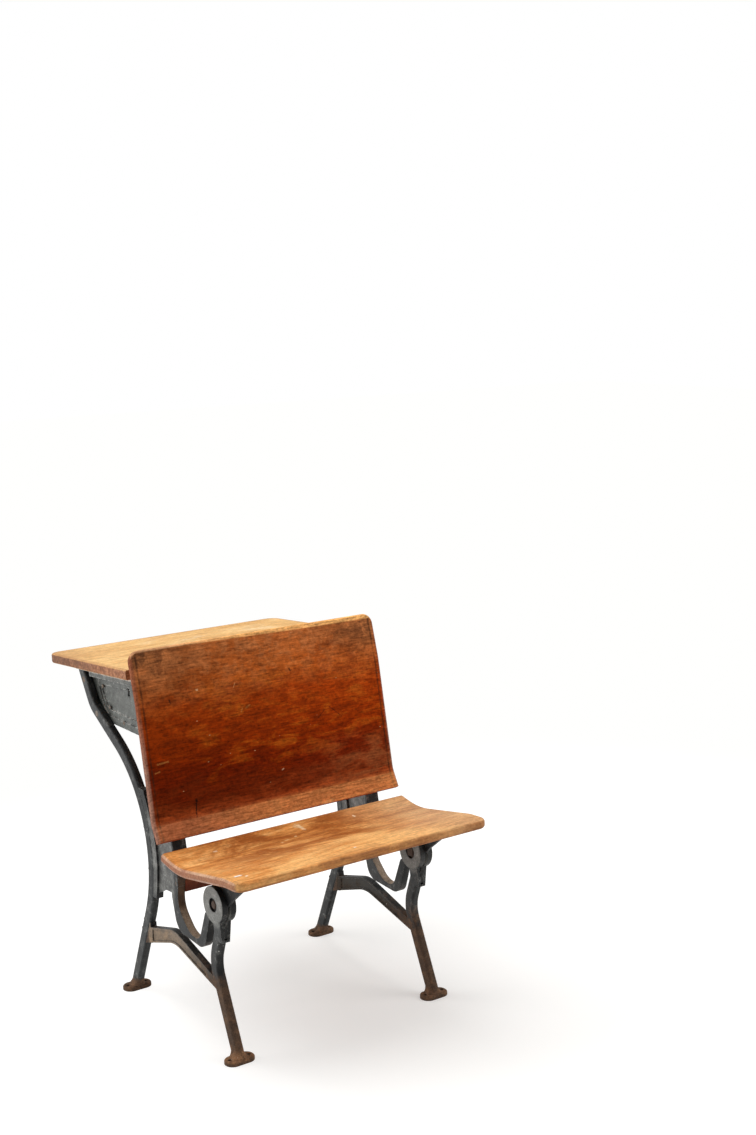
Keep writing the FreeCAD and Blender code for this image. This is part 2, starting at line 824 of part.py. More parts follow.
def loop_and_bar(body):
    """The open loop behind the seat that runs on as the bar behind the backrest."""
    top_z = cell("back_bar_top_height")
    front_y = HINGE_Y + cell("loop_front_back")
    bar_front = HALF_BACK + cell("back_flange_thickness") / 2
    bar_rear = HALF_BACK + cell("back_bar_depth")
    bend_z = cell("back_bottom_height") - cell("loop_inner_drop")
    floor_y = FRONT_FOOT + cell("loop_floor_back")
    radius = cell("loop_radius")
    base = cell("loop_base_height")
    corners = [
        Corner(behind_back(top_z, bar_front), top_z),
        Corner(behind_back(BACK_BEND_Z, bar_front), BACK_BEND_Z),
        Corner(front_y, bend_z, radius * 2),
        Corner(HINGE_Y + cell("loop_inner_back"), HINGE_Z - cell("loop_inner_drop"), radius),
        Corner(floor_y + 56, cell("loop_floor_height"), radius),
        Corner(floor_y + 19, cell("loop_floor_height"), radius * 0.5),
        Corner(floor_y - 7, HINGE_Z - cell("knuckle_radius") + 5),
        Corner(HINGE_Y + 8, HINGE_Z - 4),
        Corner(HINGE_Y + 25, HINGE_Z - 28),
        Corner(HINGE_Y + 51, base, cell("loop_base_radius")),
        Corner(HINGE_Y + cell("loop_outer_back") - 19, base + 6, radius * 0.7),
        Corner(HINGE_Y + cell("loop_outer_back"), base + 74, radius * 0.6),
        Corner(front_y + cell("loop_edge_depth"), bend_z - 8, radius),
        Corner(behind_back(BACK_BEND_Z + 40, bar_rear), BACK_BEND_Z + 40),
        Corner(behind_back(top_z, bar_rear), top_z),
    ]
    drawing = Drawing(body, "loop_outline")
    drawing.outline(corners)
    drawing.pad("loop_and_bar", cell("casting_width"))


def web(body):
    """The thin plate between the back bar and the rear leg."""
    bar_y = HINGE_Y + cell("loop_front_back") + cell("loop_edge_depth") / 2
    leg_y = REAR_FOOT - cell("foot_pitch") * 0.25 + 3
    bottom = cell("web_bottom_height")
    top = cell("web_top_height")
    along_leg = [Corner(leg_y, bottom - 30), Corner(leg_y + 4, bottom + 68), Corner(leg_y + 38, top)]
    corners = [
        Corner(bar_y, bottom + 2),
        Corner(FRONT_FOOT + cell("web_heel_back"), bottom - 2, 30),
        *along_leg,
        Corner(FRONT_FOOT + cell("web_scoop_back"), cell("web_scoop_height"), cell("web_scoop_radius")),
        Corner(behind_back(top, HALF_BACK + cell("back_bar_depth") / 2), top),
    ]
    drawing = Drawing(body, "web_outline")
    drawing.outline(corners)
    drawing.pad("web", cell("web_thickness"))
    rib = Drawing(body, "web_rib_outline")
    rib.outline([
        Corner(FRONT_FOOT + cell("web_rib_bottom_back"), bottom - 30),
        *along_leg,
        Corner(FRONT_FOOT + cell("web_rib_top_back"), top),
        Corner(FRONT_FOOT + cell("web_rib_waist_back"), bottom + 76, cell("web_rib_radius")),
    ])
    rib.pad("web_rib", cell("web_rib_width"))


def back_flange(body):
    """The flange and the lugs that the backrest is screwed to."""
    inner = -HALF_BACK
    outer = HALF_BACK + cell("back_flange_thickness")
    flange = Drawing(body, "back_flange_outline")
    lower = BACK_BEND_Z
    upper = cell("back_bar_top_height")
    path = [Corner(back_line(lower), lower), Corner(back_line(upper), upper)]
    flange.band(path, inner, outer)
    flange.pad("back_flange", cell("back_flange_width"))
    foot_z = cell("back_flange_foot_height")
    bend_z = cell("back_bottom_height") - cell("loop_inner_drop")
    front_y = HINGE_Y + cell("loop_front_back")
    depth = cell("back_flange_thickness") + 1
    low_y = front_y + cell("back_flange_thickness") * 1.1
    tail = Drawing(body, "flange_tail_outline")
    tail.outline([
        Corner(behind_back(lower, HALF_BACK + 0.2), lower),
        Corner(front_y + 1, bend_z + 3),
        Corner(low_y, foot_z),
        Corner(low_y + depth, foot_z),
        Corner(front_y + depth + 1, bend_z + 3),
        Corner(behind_back(lower, outer), lower),
    ])
    tail.pad("flange_tail", cell("back_flange_width"))
    trim_tail(body, front_y, foot_z)
    half = cell("back_lug_height") / 2
    for name in ("lower", "upper"):
        middle = cell("back_%s_lug_height" % name) + half
        ends = [middle - half, middle + half]
        lug = Drawing(body, "back_lug_outline_" + name)
        lug.band([Corner(back_line(z), z) for z in ends], inner, outer)
        lug.pad("back_lug_" + name, cell("back_lug_width"))


def trim_tail(body, front_y, foot_z):
    """Taper the lower end of the flange to the width of the bar, in front view."""
    waist_z = cell("back_flange_waist_height")
    wide = cell("back_flange_width") / 2
    for side, name in ((LEFT, "left"), (RIGHT, "right")):
        cheek = Drawing(body, "tail_trim_outline_" + name, "XZ_Plane")
        cheek.sketch.setExpression("AttachmentOffset.Base.z", (-front_y).formula)
        doc.recompute()
        low = foot_z - 2
        cheek.outline([
            Corner((wide + 2) * side, low),
            Corner(HALF_CASTING * side, low),
            Corner(HALF_CASTING * side, foot_z + 1),
            Corner((wide - 1) * side, waist_z),
            Corner((wide + 2) * side, waist_z + 10),
        ])
        cheek.pocket("tail_trim_" + name, cell("loop_edge_depth") * 2)


def box_lug(body):
    """The lug behind the back bar that the box end is bolted to."""
    lug = Drawing(body, "box_lug_outline")
    inner = HALF_BACK + cell("back_flange_thickness")
    outer = HALF_BACK + cell("back_bar_depth") + cell("box_lug_depth")
    ends = [cell("box_lug_bottom_height"), cell("back_bar_top_height") - 6]
    lug.band([Corner(back_line(z), z) for z in ends], -inner, outer)
    lug.pad("box_lug", cell("casting_width"))


def knuckle_slot(body):
    """The slit for the seat arm, closed behind so that the arm's heel stops there."""
    slot_width = cell("seat_arm_thickness") + cell("slot_clearance") * 2
    reach = cell("knuckle_radius") + 3
    disc = Drawing(body, "slot_circle")
    disc.circle(Corner(HINGE_Y, HINGE_Z), reach)
    disc.pocket("slot", slot_width)
    heel = Drawing(body, "heel_slot_outline")
    rear = HEEL_REAR_Y + cell("seat_stop_gap")
    front = HINGE_Y - reach
    bottom = HINGE_Z - cell("slot_drop")
    heel.outline([Corner(front, bottom), Corner(rear, bottom), Corner(rear, HINGE_Z), Corner(front, HINGE_Z)])
    heel.pocket("heel_slot", slot_width)


def knuckle_recesses(body):
    """The round recesses for the head and the nut of the hinge bolt, and its bore."""
    middle = Corner(HINGE_Y, HINGE_Z)
    bore = Drawing(body, "hinge_bore_circle")
    bore.circle(middle, cell("hinge_bolt_diameter") / 2)
    bore.pocket("hinge_bore", cell("knuckle_width") * 2)
    floor = cell("knuckle_width") / 2 - cell("knuckle_recess_depth")
    for side, name in ((LEFT, "left"), (RIGHT, "right")):
        recess = Drawing(body, "knuckle_recess_circle_" + name)
        recess.sketch.setExpression("AttachmentOffset.Base.z", (floor * side).formula)
        doc.recompute()
        recess.circle(middle, cell("knuckle_recess_diameter") / 2)
        recess.pocket("knuckle_recess_" + name, cell("knuckle_width"), -side)


def box_end_blank(label, side):
    """The iron end of the book box, with a stepped hollow field and a rail on top."""
    body = new_body(label, BOX_INNER_X * side)
    thickness = cell("box_end_thickness")
    bottom = cell("box_bottom_height")
    edge = HALF_BACK + cell("back_flange_thickness") + 4.5
    rail_middle = (RAIL_TOP + RAIL_BOTTOM) / 2
    rear_y = FRONT_FOOT + cell("box_end_top_back")
    front_y = FRONT_FOOT + cell("box_rail_front_back")
    shoulder = under_lid(front_y, RAIL_BOTTOM) - 4
    plate = Drawing(body, "plate_outline")
    plate.outline([
        Corner(behind_back(bottom, edge), bottom, 8),
        Corner(FRONT_FOOT + cell("box_end_bottom_back"), bottom, 12),
        Corner(FRONT_FOOT + cell("box_end_heel_back"), cell("box_end_heel_height"), cell("box_end_heel_radius")),
        Corner(rear_y, under_lid(rear_y, rail_middle)),
        Corner(front_y, under_lid(front_y, rail_middle)),
        Corner(front_y, shoulder),
        Corner(behind_back(shoulder - 18, edge), shoulder - 18),
    ])
    plate.pad("plate", thickness, side)
    rail_ends = [front_y, FRONT_FOOT + cell("box_rail_rear_back")]
    rail = Drawing(body, "rail_outline")
    rail.band([Corner(y, lid_line(y)) for y in rail_ends], -RAIL_TOP, RAIL_BOTTOM)
    rail.pad("rail", cell("box_rail_width"), side)
    lip_ends = [front_y, FRONT_FOOT + cell("box_lip_rear_back")]
    lip = Drawing(body, "lip_outline")
    lip.band([Corner(y, lid_line(y)) for y in lip_ends], -RAIL_TOP, RAIL_BOTTOM + cell("box_lip_depth"))
    lip.pad("lip", cell("box_lip_width"), side)
    for step in (1, 2):
        field = Drawing(body, "field_outline_%d" % step)
        level = thickness - cell("box_field_step") * step
        field.sketch.setExpression("AttachmentOffset.Base.z", (level * side).formula)
        doc.recompute()
        field.outline(field_corners(cell("box_field_rim") * (2 - step)))
        field.pocket("field_%d" % step, thickness, -side)
    slot = Drawing(body, "slot_outline")
    half = cell("box_slot_length") / 2
    slot_y = FRONT_FOOT + cell("box_slot_back")
    ends = [Corner(slot_y, cell("box_slot_height") + half), Corner(slot_y + 3, cell("box_slot_height") - half)]
    slot.band(ends, cell("box_slot_width") / 2, cell("box_slot_width") / 2)
    slot.pocket("slot", thickness * 4)
    return body


def field_corners(rim):
    """The hollow field of a box end, widened all round by a rim."""
    low = cell("box_bottom_height") + cell("box_field_bottom_gap") - rim
    offset = RAIL_BOTTOM + cell("box_field_top_gap") - rim
    front = behind_back(low, HALF_BACK + cell("back_bar_depth") + cell("box_field_front_gap")) - rim
    rear = FRONT_FOOT + cell("box_field_high_back") + rim
    return [
        Corner(front, low, 8),
        Corner(FRONT_FOOT + cell("box_field_low_back") + rim * 0.4, low, 40),
        Corner(rear, under_lid(rear, offset), 8),
        Corner(front, under_lid(front, offset), 8),
    ]


# Wooden boards

def board(label, path, thickness, width):
    """A board of even thickness that follows a path in side view."""
    body = new_body(label)
    drawing = Drawing(body, "side_outline")
    drawing.band(path, thickness / 2, thickness / 2)
    drawing.pad("board", width)
    return body


def is_corner_edge(edge, half_width, low_y=None, high_y=None, low_z=None):
    """Whether an edge runs through the thickness at a side of the board."""
    box = edge.BoundBox
    flat = box.XLength < 0.01 and abs(abs(box.XMin) - half_width) < 0.01
    inside = (low_y is None or box.YMin > low_y) and (high_y is None or box.YMax < high_y)
    return flat and inside and (low_z is None or box.ZMin > low_z)


def seat_blank():
    """The seat board, dished and with a rounded front edge."""
    body = board("seat_board_blank", SEAT_PATH, cell("seat_thickness"), cell("seat_width"))
    half = SIZES["seat_width"] / 2
    front = SEAT_PATH[0].y.value + 4
    round_edges(body, "corners", cell("seat_corner_radius"),
                lambda edge: is_corner_edge(edge, half, high_y=front))
    base_front = SEAT_PATH[0].y.value

    def front_rim(edge):
        box = edge.BoundBox
        return box.XLength > SIZES["seat_width"] * 0.8 and box.YMax < base_front + 3

    round_edges(body, "bullnose", cell("seat_bullnose_radius"), front_rim)
    return body


def backrest_blank():
    """The backrest board, with its lower edge curled forward."""
    body = board("backrest_blank", BACK_PATH, cell("back_thickness"), cell("back_width"))
    half = SIZES["back_width"] / 2
    top = SIZES["back_top_height"] - 5
    round_edges(body, "corners", cell("back_corner_radius"),
                lambda edge: is_corner_edge(edge, half, low_z=top))

    def top_rim(edge):
        box = edge.BoundBox
        return box.XLength > SIZES["back_width"] * 0.8 and box.ZMin > top

    round_edges(body, "top_edge", cell("board_edge_radius"), top_rim)
    return body


def lid_blank():
    """The lid board, with rounded corners on the side away from its hinges."""
    rear_y = LID_FRONT_Y + cell("lid_depth")
    path = [Corner(LID_FRONT_Y, lid_line(LID_FRONT_Y)), Corner(rear_y, lid_line(rear_y))]
    body = board("lid_board_blank", path, cell("lid_thickness"), cell("lid_width"))
    half = SIZES["lid_width"] / 2
    rear = rear_y.value - 4
    round_edges(body, "corners", cell("lid_corner_radius"),
                lambda edge: is_corner_edge(edge, half, low_y=rear))

    def rear_rim(edge):
        box = edge.BoundBox
        return box.XLength > SIZES["lid_width"] * 0.8 and box.YMin > rear

    round_edges(body, "rear_edge", cell("board_edge_radius"), rear_rim)
    return body


BOX_WIDTH = BOX_INNER_X * 2
BOX_FLOOR_Z = cell("box_bottom_height") + cell("box_board_lift") + BOARD / 2
LUG_BOLT_OFFSET = HALF_BACK + cell("back_bar_depth") + cell("box_lug_bolt_setback")
LUG_BOLT_LOW_Z = cell("box_lug_bottom_height") + 14
LUG_BOLT_HIGH_Z = LUG_BOLT_LOW_Z + cell("box_lug_bolt_spacing")
LUG_NUT_REAR_Y = behind_back(LUG_BOLT_HIGH_Z, LUG_BOLT_OFFSET) + cell("casting_nut_width") / 2
BOX_FRONT_Y = LUG_NUT_REAR_Y + cell("box_front_gap")
FRONT_BOARD_TOP = under_lid(BOX_FRONT_Y + BOARD, RAIL_TOP + 1)
BOX_FLOOR_PATH = [
    Corner(BOX_FRONT_Y, BOX_FLOOR_Z),
    Corner(FRONT_FOOT + cell("box_rear_foot_back"), BOX_FLOOR_Z),
]
BOX_FRONT_PATH = [
    Corner(BOX_FRONT_Y + BOARD / 2, BOX_FLOOR_Z + BOARD / 2),
    Corner(BOX_FRONT_Y + BOARD / 2, FRONT_BOARD_TOP),
]
BOX_REAR_PATH = [
    Corner(FRONT_FOOT + cell("box_rear_foot_back") + BOARD * 0.55, BOX_FLOOR_Z + 1.5),
    Corner(FRONT_FOOT + cell("box_rear_top_back"), cell("box_rear_top_height")),
]
SLAT_MIDDLE_Y = FRONT_FOOT + cell("slat_front_back") + cell("slat_thickness") / 2
SLAT_PATH = [
    Corner(SLAT_MIDDLE_Y, cell("slat_bottom_height")),
    Corner(SLAT_MIDDLE_Y, cell("slat_bottom_height") + cell("slat_height")),
]
SLAT_LENGTH = (HALF_SPACING - HALF_CASTING) * 2


# Seat arms

HEEL_REAR_Y = FRONT_FOOT + cell("front_leg_top_back") + 5


def seat_arm_blank(label, side):
    """A seat arm: hub, bracket, heel and the flange under the seat."""
    body = new_body(label, side_x(side))
    plate = cell("seat_arm_thickness")
    hub = Drawing(body, "hub_circle")
    hub.circle(Corner(HINGE_Y, HINGE_Z), cell("seat_arm_hub_radius"))
    hub.pad("hub", plate)
    half_seat = cell("seat_thickness") / 2
    front_y = FRONT_FOOT - cell("seat_arm_front_overhang")
    rear_y = FRONT_FOOT + cell("seat_arm_rear_back")
    brow = SEAT_PATH[1]
    front_end, rear_end = between(brow, SEAT_PATH[2], front_y), between(brow, SEAT_PATH[2], rear_y)
    inside = half_seat + cell("seat_flange_thickness") / 2
    radius = cell("seat_arm_hub_radius")
    bracket = Drawing(body, "bracket_outline")
    bracket.outline([
        Corner(HINGE_Y - radius + 2, HINGE_Z - 6),
        Corner(HINGE_Y, HINGE_Z - radius + 6),
        Corner(HINGE_Y + radius - 2, HINGE_Z),
        Corner(rear_end.y, rear_end.z - inside),
        Corner(front_end.y, front_end.z - inside),
        Corner(front_end.y + 3, front_end.z - inside - cell("seat_arm_front_drop")),
        Corner(HINGE_Y - radius - 22, HINGE_Z + 18, 60),
    ])
    bracket.pad("bracket", plate)
    heel = Drawing(body, "heel_outline")
    heel_bottom = HINGE_Z - cell("slot_drop") + 4
    heel_front = HEEL_REAR_Y - cell("seat_heel_depth")
    heel.outline([
        Corner(heel_front, heel_bottom),
        Corner(HEEL_REAR_Y, heel_bottom),
        Corner(HEEL_REAR_Y, HINGE_Z),
        Corner(heel_front - 6, HINGE_Z),
    ])
    heel.pad("heel", plate)
    flange = Drawing(body, "flange_outline")
    flange.band([front_end, rear_end], -half_seat, half_seat + cell("seat_flange_thickness"))
    flange.pad("flange", cell("seat_flange_width"))
    bore = Drawing(body, "bore_circle")
    bore.circle(Corner(HINGE_Y, HINGE_Z), cell("hinge_bolt_diameter") / 2 + cell("running_clearance"))
    bore.pocket("bore", plate * 3)
    return body


def seat_frame_point(distance, below):
    """A place along the straight middle of the seat, a distance below its middle."""
    start, end = SEAT_PATH[1].place(), SEAT_PATH[2].place()
    way = unit(end - start)
    place = start + way * distance - left_of(way) * below
    return place, way


def make_seat_screws():
    """Screws up through the arm flanges into the seat."""
    half_seat = SIZES["seat_thickness"] / 2
    below = half_seat + SIZES["seat_flange_thickness"]
    sideways = SIZES["seat_flange_width"] / 2 - SIZES["wood_screw_head_diameter"] / 2 - 1.5
    shapes = []
    for side in (LEFT, RIGHT):
        for distance in (34, 124):
            place, way = seat_frame_point(distance, below)
            up = left_of(way)
            for offset in (LEFT, RIGHT):
                x = side * HALF_SPACING.value + offset * sideways
                start = FreeCAD.Vector(x, place.x, place.y)
                shapes.append(wood_screw(start, FreeCAD.Vector(0, up.x, up.y), SIZES["seat_screw_length"]))
    return group("seat_screws", shapes)


def make_hinge_bolts():
    """The bolts that the seat arms turn on, one in each knuckle."""
    shapes = []
    depth = SIZES["knuckle_recess_depth"]
    half = SIZES["knuckle_width"] / 2
    for side in (LEFT, RIGHT):
        start = point(side * (HALF_SPACING.value + half - depth), Corner(HINGE_Y, HINGE_Z))
        way = ACROSS * -side
        shapes.append(round_head(start, way, 2 * half - depth, SIZES["hinge_bolt_diameter"],
                                 SIZES["hinge_bolt_head_diameter"], depth - 0.6))
    return group("hinge_bolts", shapes)


def make_hinge_nuts():
    """The nuts of the hinge bolts, sunk in the inner recesses."""
    shapes = []
    depth = SIZES["knuckle_recess_depth"]
    half = SIZES["knuckle_width"] / 2
    for side in (LEFT, RIGHT):
        start = point(side * (HALF_SPACING.value - half + depth), Corner(HINGE_Y, HINGE_Z))
        shapes.append(square_nut(start, ACROSS * -side, SIZES["knuckle_recess_diameter"] * 0.66, depth,
                                 SIZES["hinge_bolt_diameter"]))
    return group("hinge_nuts", shapes)


def casting_bolt(start, way, length):
    """A flush bolt that joins two castings."""
    return countersunk(start, way, length, SIZES["casting_bolt_diameter"],
                       SIZES["casting_bolt_head_diameter"], SIZES["casting_bolt_head_height"])


def leg_face(height):
    """Y of the rear face of the rear leg at a height, found on the leg itself."""
    leg = doc.getObject("rear_leg_left_blank").Shape
    ray = Part.makeLine(FreeCAD.Vector(-HALF_SPACING.value, -1000, height),
                        FreeCAD.Vector(-HALF_SPACING.value, 1000, height))
    return leg.common(ray).BoundBox.YMax


def make_leg_bolts():
    """Bolts through the rear legs into the brace pads and the webs, square to the leg."""
    shapes = []
    middle = SIZES["brace_rear_height"] + SIZES["brace_pad_lift"]
    heights = [middle + 1, middle + 23, SIZES["web_bottom_height"] + 24, SIZES["web_top_height"] - 78]
    length = SIZES["rear_leg_depth"] + SIZES["brace_pad_depth"] - 2
    for side in (LEFT, RIGHT):
        for height in heights:
            lean = (leg_face(height + 4) - leg_face(height - 4)) / 8
            way = unit(FreeCAD.Vector(0, -1, lean))
            start = FreeCAD.Vector(side * HALF_SPACING.value, leg_face(height), height) - way * 0.3
            shapes.append(casting_bolt(start, way, length))
    return group("leg_bolts", shapes)


def box_bolt_places():
    """Side-view places where the box ends are bolted to the legs and the back bars."""
    shoulder = REAR_LEG_PATH[2].place()
    below = unit(REAR_LEG_PATH[1].place() - shoulder)
    top = REAR_LEG_PATH[3].place()
    above = unit(top - shoulder)
    places = [shoulder + below * 28, top - above * 24]
    for z in (LUG_BOLT_LOW_Z, LUG_BOLT_HIGH_Z):
        places.append(Corner(behind_back(z, LUG_BOLT_OFFSET), z).place())
    return places


def make_box_bolts():
    """Bolts through the castings into the box ends."""
    outer = HALF_SPACING.value + HALF_CASTING.value
    length = SIZES["casting_width"] + SIZES["box_end_thickness"] + SIZES["casting_nut_height"]
    shapes = []
    for side in (LEFT, RIGHT):
        for place in box_bolt_places():
            start = FreeCAD.Vector(side * outer, place.x, place.y)
            shapes.append(casting_bolt(start, ACROSS * -side, length))
    return group("box_bolts", shapes)


def make_box_nuts():
    """Square nuts of the box bolts, inside the box ends."""
    shapes = []
    for side in (LEFT, RIGHT):
        for place in box_bolt_places():
            start = FreeCAD.Vector(side * BOX_INNER_X.value, place.x, place.y)
            shapes.append(square_nut(start, ACROSS * -side, SIZES["casting_nut_width"],
                                     SIZES["casting_nut_height"], SIZES["casting_bolt_diameter"]))
    return group("box_nuts", shapes)


def make_box_screws():
    """Screws through the box ends into the ends of the box boards."""
    outer = HALF_SPACING.value - HALF_CASTING.value
    floor_z = BOX_FLOOR_Z.value
    front_y = BOX_FRONT_Y.value + SIZES["box_board_thickness"] / 2
    foot_place = BOX_REAR_PATH[0].place()
    top_place = BOX_REAR_PATH[1].place()
    places = [FreeCAD.Vector(front_y + 60, floor_z, 0), FreeCAD.Vector(foot_place.x - 50, floor_z, 0),
              FreeCAD.Vector(front_y, floor_z + 24, 0), FreeCAD.Vector(front_y, FRONT_BOARD_TOP.value - 30, 0)]
    for share in (0.2, 0.62):
        places.append(foot_place + (top_place - foot_place) * share)
    shapes = []
    for side in (LEFT, RIGHT):
        for place in places:
            start = FreeCAD.Vector(side * outer, place.x, place.y)
            shapes.append(wood_screw(start, ACROSS * -side, SIZES["board_screw_length"]))
    return group("box_screws", shapes)


def make_back_screws():
    """Screws forward through the lugs into the backrest."""
    behind = HALF_BACK + cell("back_flange_thickness")
    sideways = SIZES["back_lug_width"] / 2 - SIZES["wood_screw_head_diameter"] / 2 - 1
    slope = math.atan(BACK_SLOPE.value)
    way = FreeCAD.Vector(0, -math.cos(slope), math.sin(slope))
    shapes = []
    for side in (LEFT, RIGHT):
        for name in ("lower", "upper"):
            z = cell("back_%s_lug_height" % name) + cell("back_lug_height") / 2
            for offset in (LEFT, RIGHT):
                x = side * HALF_SPACING.value + offset * sideways
                start = FreeCAD.Vector(x, back_line(z).value, z.value) - way * behind.value
                shapes.append(wood_screw(start, way, SIZES["back_screw_length"], domed=True))
    return group("back_screws", shapes)


def make_slat_screws():
    """Screws through the loops into the ends of the slat."""
    outer = HALF_SPACING.value + HALF_CASTING.value
    shapes = []
    for side in (LEFT, RIGHT):
        for height in (18, SIZES["slat_height"] - 16):
            z = SIZES["slat_bottom_height"] + height
            start = FreeCAD.Vector(side * outer, SLAT_MIDDLE_Y.value - 1, z)
            length = SIZES["casting_width"] + SIZES["board_screw_length"]
            shapes.append(wood_screw(start, ACROSS * -side, length))
    return group("slat_screws", shapes)


# Lid hinges

PIN_Y = LID_FRONT_Y - cell("lid_hinge_set_out")
PIN_Z = cell("lid_front_height") + cell("lid_hinge_leaf") + 0.2


def hinge_leaf_blank(label, side, leaf_path, spans):
    """One leaf of a lid hinge with its barrel knuckles at the given spans."""
    body = new_body(label, cell("lid_hinge_offset") * side)
    leaf = Drawing(body, "leaf_outline")
    leaf.band(leaf_path, cell("lid_hinge_leaf") / 2, cell("lid_hinge_leaf") / 2)
    leaf.pad("leaf", cell("lid_hinge_width"))
    barrel = Drawing(body, "barrel_circle")
    barrel.circle(Corner(PIN_Y, PIN_Z), cell("lid_hinge_barrel_radius"))
    barrel.pad("barrel", cell("lid_hinge_width"))
    clear = cell("lid_hinge_barrel_radius") + cell("lid_hinge_joint_gap")
    for number, (middle, width) in enumerate(spans):
        notch = Drawing(body, "notch_%d" % number)
        notch.sketch.setExpression("AttachmentOffset.Base.z", middle.formula)
        doc.recompute()
        notch.circle(Corner(PIN_Y, PIN_Z), clear)
        notch.pocket("notch_cut_%d" % number, width)
    bore = Drawing(body, "pin_circle")
    extra = cell("running_clearance") if "lid" in label else as_size(0)
    bore.circle(Corner(PIN_Y, PIN_Z), cell("lid_hinge_pin_diameter") / 2 + extra)
    bore.pocket("pin_bore", cell("lid_hinge_width") * 2)
    return body


def make_hinge_leaves(side, name):
    """The two leaves of one lid hinge, whose knuckles mesh on the pin."""
    third = cell("lid_hinge_width") / 3
    gap = cell("lid_hinge_joint_gap")
    leaf = cell("lid_hinge_leaf")
    top = RAIL_TOP - cell("lid_rest_gap") + leaf / 2
    reach_y = LID_FRONT_Y + cell("lid_hinge_reach")
    upper_path = [Corner(PIN_Y + 1, lid_line(PIN_Y + 1) + top * LID_SECANT),
                  Corner(reach_y, lid_line(reach_y) + top * LID_SECANT)]
    wall_y = BOX_FRONT_Y - leaf / 2
    lower_path = [Corner(wall_y, PIN_Z - 1), Corner(wall_y, PIN_Z - cell("lid_hinge_drop"))]
    fixed = hinge_leaf_blank("box_hinge_leaf_%s_blank" % name, side, lower_path,
                             [(as_size(0), third + gap * 2)])
    moving = hinge_leaf_blank("lid_hinge_leaf_%s_blank" % name, side, upper_path,
                              [(-third, third), (third, third)])
    return fixed, moving


def make_hinge_pins():
    """The pins of the two lid hinges."""
    width = SIZES["lid_hinge_width"]
    shapes = []
    for side in (LEFT, RIGHT):
        start = point(side * SIZES["lid_hinge_offset"] - width / 2, Corner(PIN_Y, PIN_Z))
        shapes.append(Part.makeCylinder(SIZES["lid_hinge_pin_diameter"] / 2, width, start, ACROSS))
    return group("lid_hinge_pins", shapes)


def make_lid_hinge_screws():
    """Screws down through the upper leaves into the lid."""
    slope = math.atan(LID_SLOPE.value)
    way = FreeCAD.Vector(0, math.sin(slope), -math.cos(slope))
    top = HALF_LID + cell("lid_hinge_leaf")
    y = LID_FRONT_Y + cell("lid_hinge_reach") * 0.6
    shapes = []
    for side in (LEFT, RIGHT):
        for offset in (-20, 0, 20):
            x = side * SIZES["lid_hinge_offset"] + offset
            start = FreeCAD.Vector(x, y.value, lid_line(y).value) - way * top.value
            shapes.append(wood_screw(start, way, SIZES["hinge_screw_length"]))
    return group("lid_hinge_screws", shapes)


def make_box_hinge_screws():
    """Screws through the lower leaves into the front board of the box."""
    y = BOX_FRONT_Y.value - SIZES["lid_hinge_leaf"]
    z = PIN_Z.value - SIZES["lid_hinge_drop"] + 9
    shapes = []
    for side in (LEFT, RIGHT):
        for offset in (-20, 0, 20):
            x = side * SIZES["lid_hinge_offset"] + offset
            start = FreeCAD.Vector(x, y, z)
            shapes.append(wood_screw(start, FreeCAD.Vector(0, 1, 0), SIZES["hinge_screw_length"]))
    return group("box_hinge_screws", shapes)


# Assembly

def build():
    """Make every piece and return the finished ones."""
    rear_legs = {}
    standards = {}
    ends = {}
    arms = {}
    for side, name in ((LEFT, "left"), (RIGHT, "right")):
        rear_legs[name] = rear_leg_blank("rear_leg_%s_blank" % name, side)
        standards[name] = seat_standard_blank("seat_standard_%s_blank" % name, side)
        ends[name] = box_end_blank("box_end_%s_blank" % name, side)
        arms[name] = seat_arm_blank("seat_arm_%s_blank" % name, side)
    leg_bolts = make_leg_bolts()
    box_bolts = make_box_bolts()
    box_nuts = make_box_nuts()
    box_screws = make_box_screws()
    back_screws = make_back_screws()
    slat_screws = make_slat_screws()
    seat_screws = make_seat_screws()
    lid_screws = make_lid_hinge_screws()
    wall_screws = make_box_hinge_screws()
    pieces = [leg_bolts, box_bolts, box_nuts, box_screws, back_screws, slat_screws, seat_screws,
              lid_screws, wall_screws, make_hinge_bolts(), make_hinge_nuts(), make_hinge_pins()]
    for side, name in ((LEFT, "left"), (RIGHT, "right")):
        leg = rear_legs[name]
        pieces.append(finish("rear_leg_" + name, leg, [leg_bolts, box_bolts]))
        pieces.append(finish("seat_standard_" + name, standards[name],
                             [leg, leg_bolts, box_bolts, back_screws, slat_screws]))
        pieces.append(finish("box_end_" + name, ends[name], [box_bolts, box_screws]))
        pieces.append(finish("seat_arm_" + name, arms[name], [seat_screws]))
        fixed, moving = make_hinge_leaves(side, name)
        pieces.append(finish("box_hinge_leaf_" + name, fixed, [wall_screws]))
        pieces.append(finish("lid_hinge_leaf_" + name, moving, [lid_screws]))
    pieces.append(finish("seat_board", seat_blank(), [seat_screws]))
    pieces.append(finish("backrest", backrest_blank(), [back_screws]))
    pieces.append(finish("lid_board", lid_blank(), [lid_screws]))
    floor = board("box_floor_blank", BOX_FLOOR_PATH, BOARD, BOX_WIDTH)
    front = board("box_front_blank", BOX_FRONT_PATH, BOARD, BOX_WIDTH)
    rear = board("box_rear_blank", BOX_REAR_PATH, BOARD, BOX_WIDTH)
    slat = board("lower_slat_blank", SLAT_PATH, cell("slat_thickness"), SLAT_LENGTH)
    pieces.append(finish("box_floor", floor, [box_screws]))
    pieces.append(finish("box_front", front, [box_screws, wall_screws]))
    pieces.append(finish("box_rear", rear, [box_screws, box_nuts, floor]))
    pieces.append(finish("lower_slat", slat, [slat_screws, *standards.values()]))
    return pieces


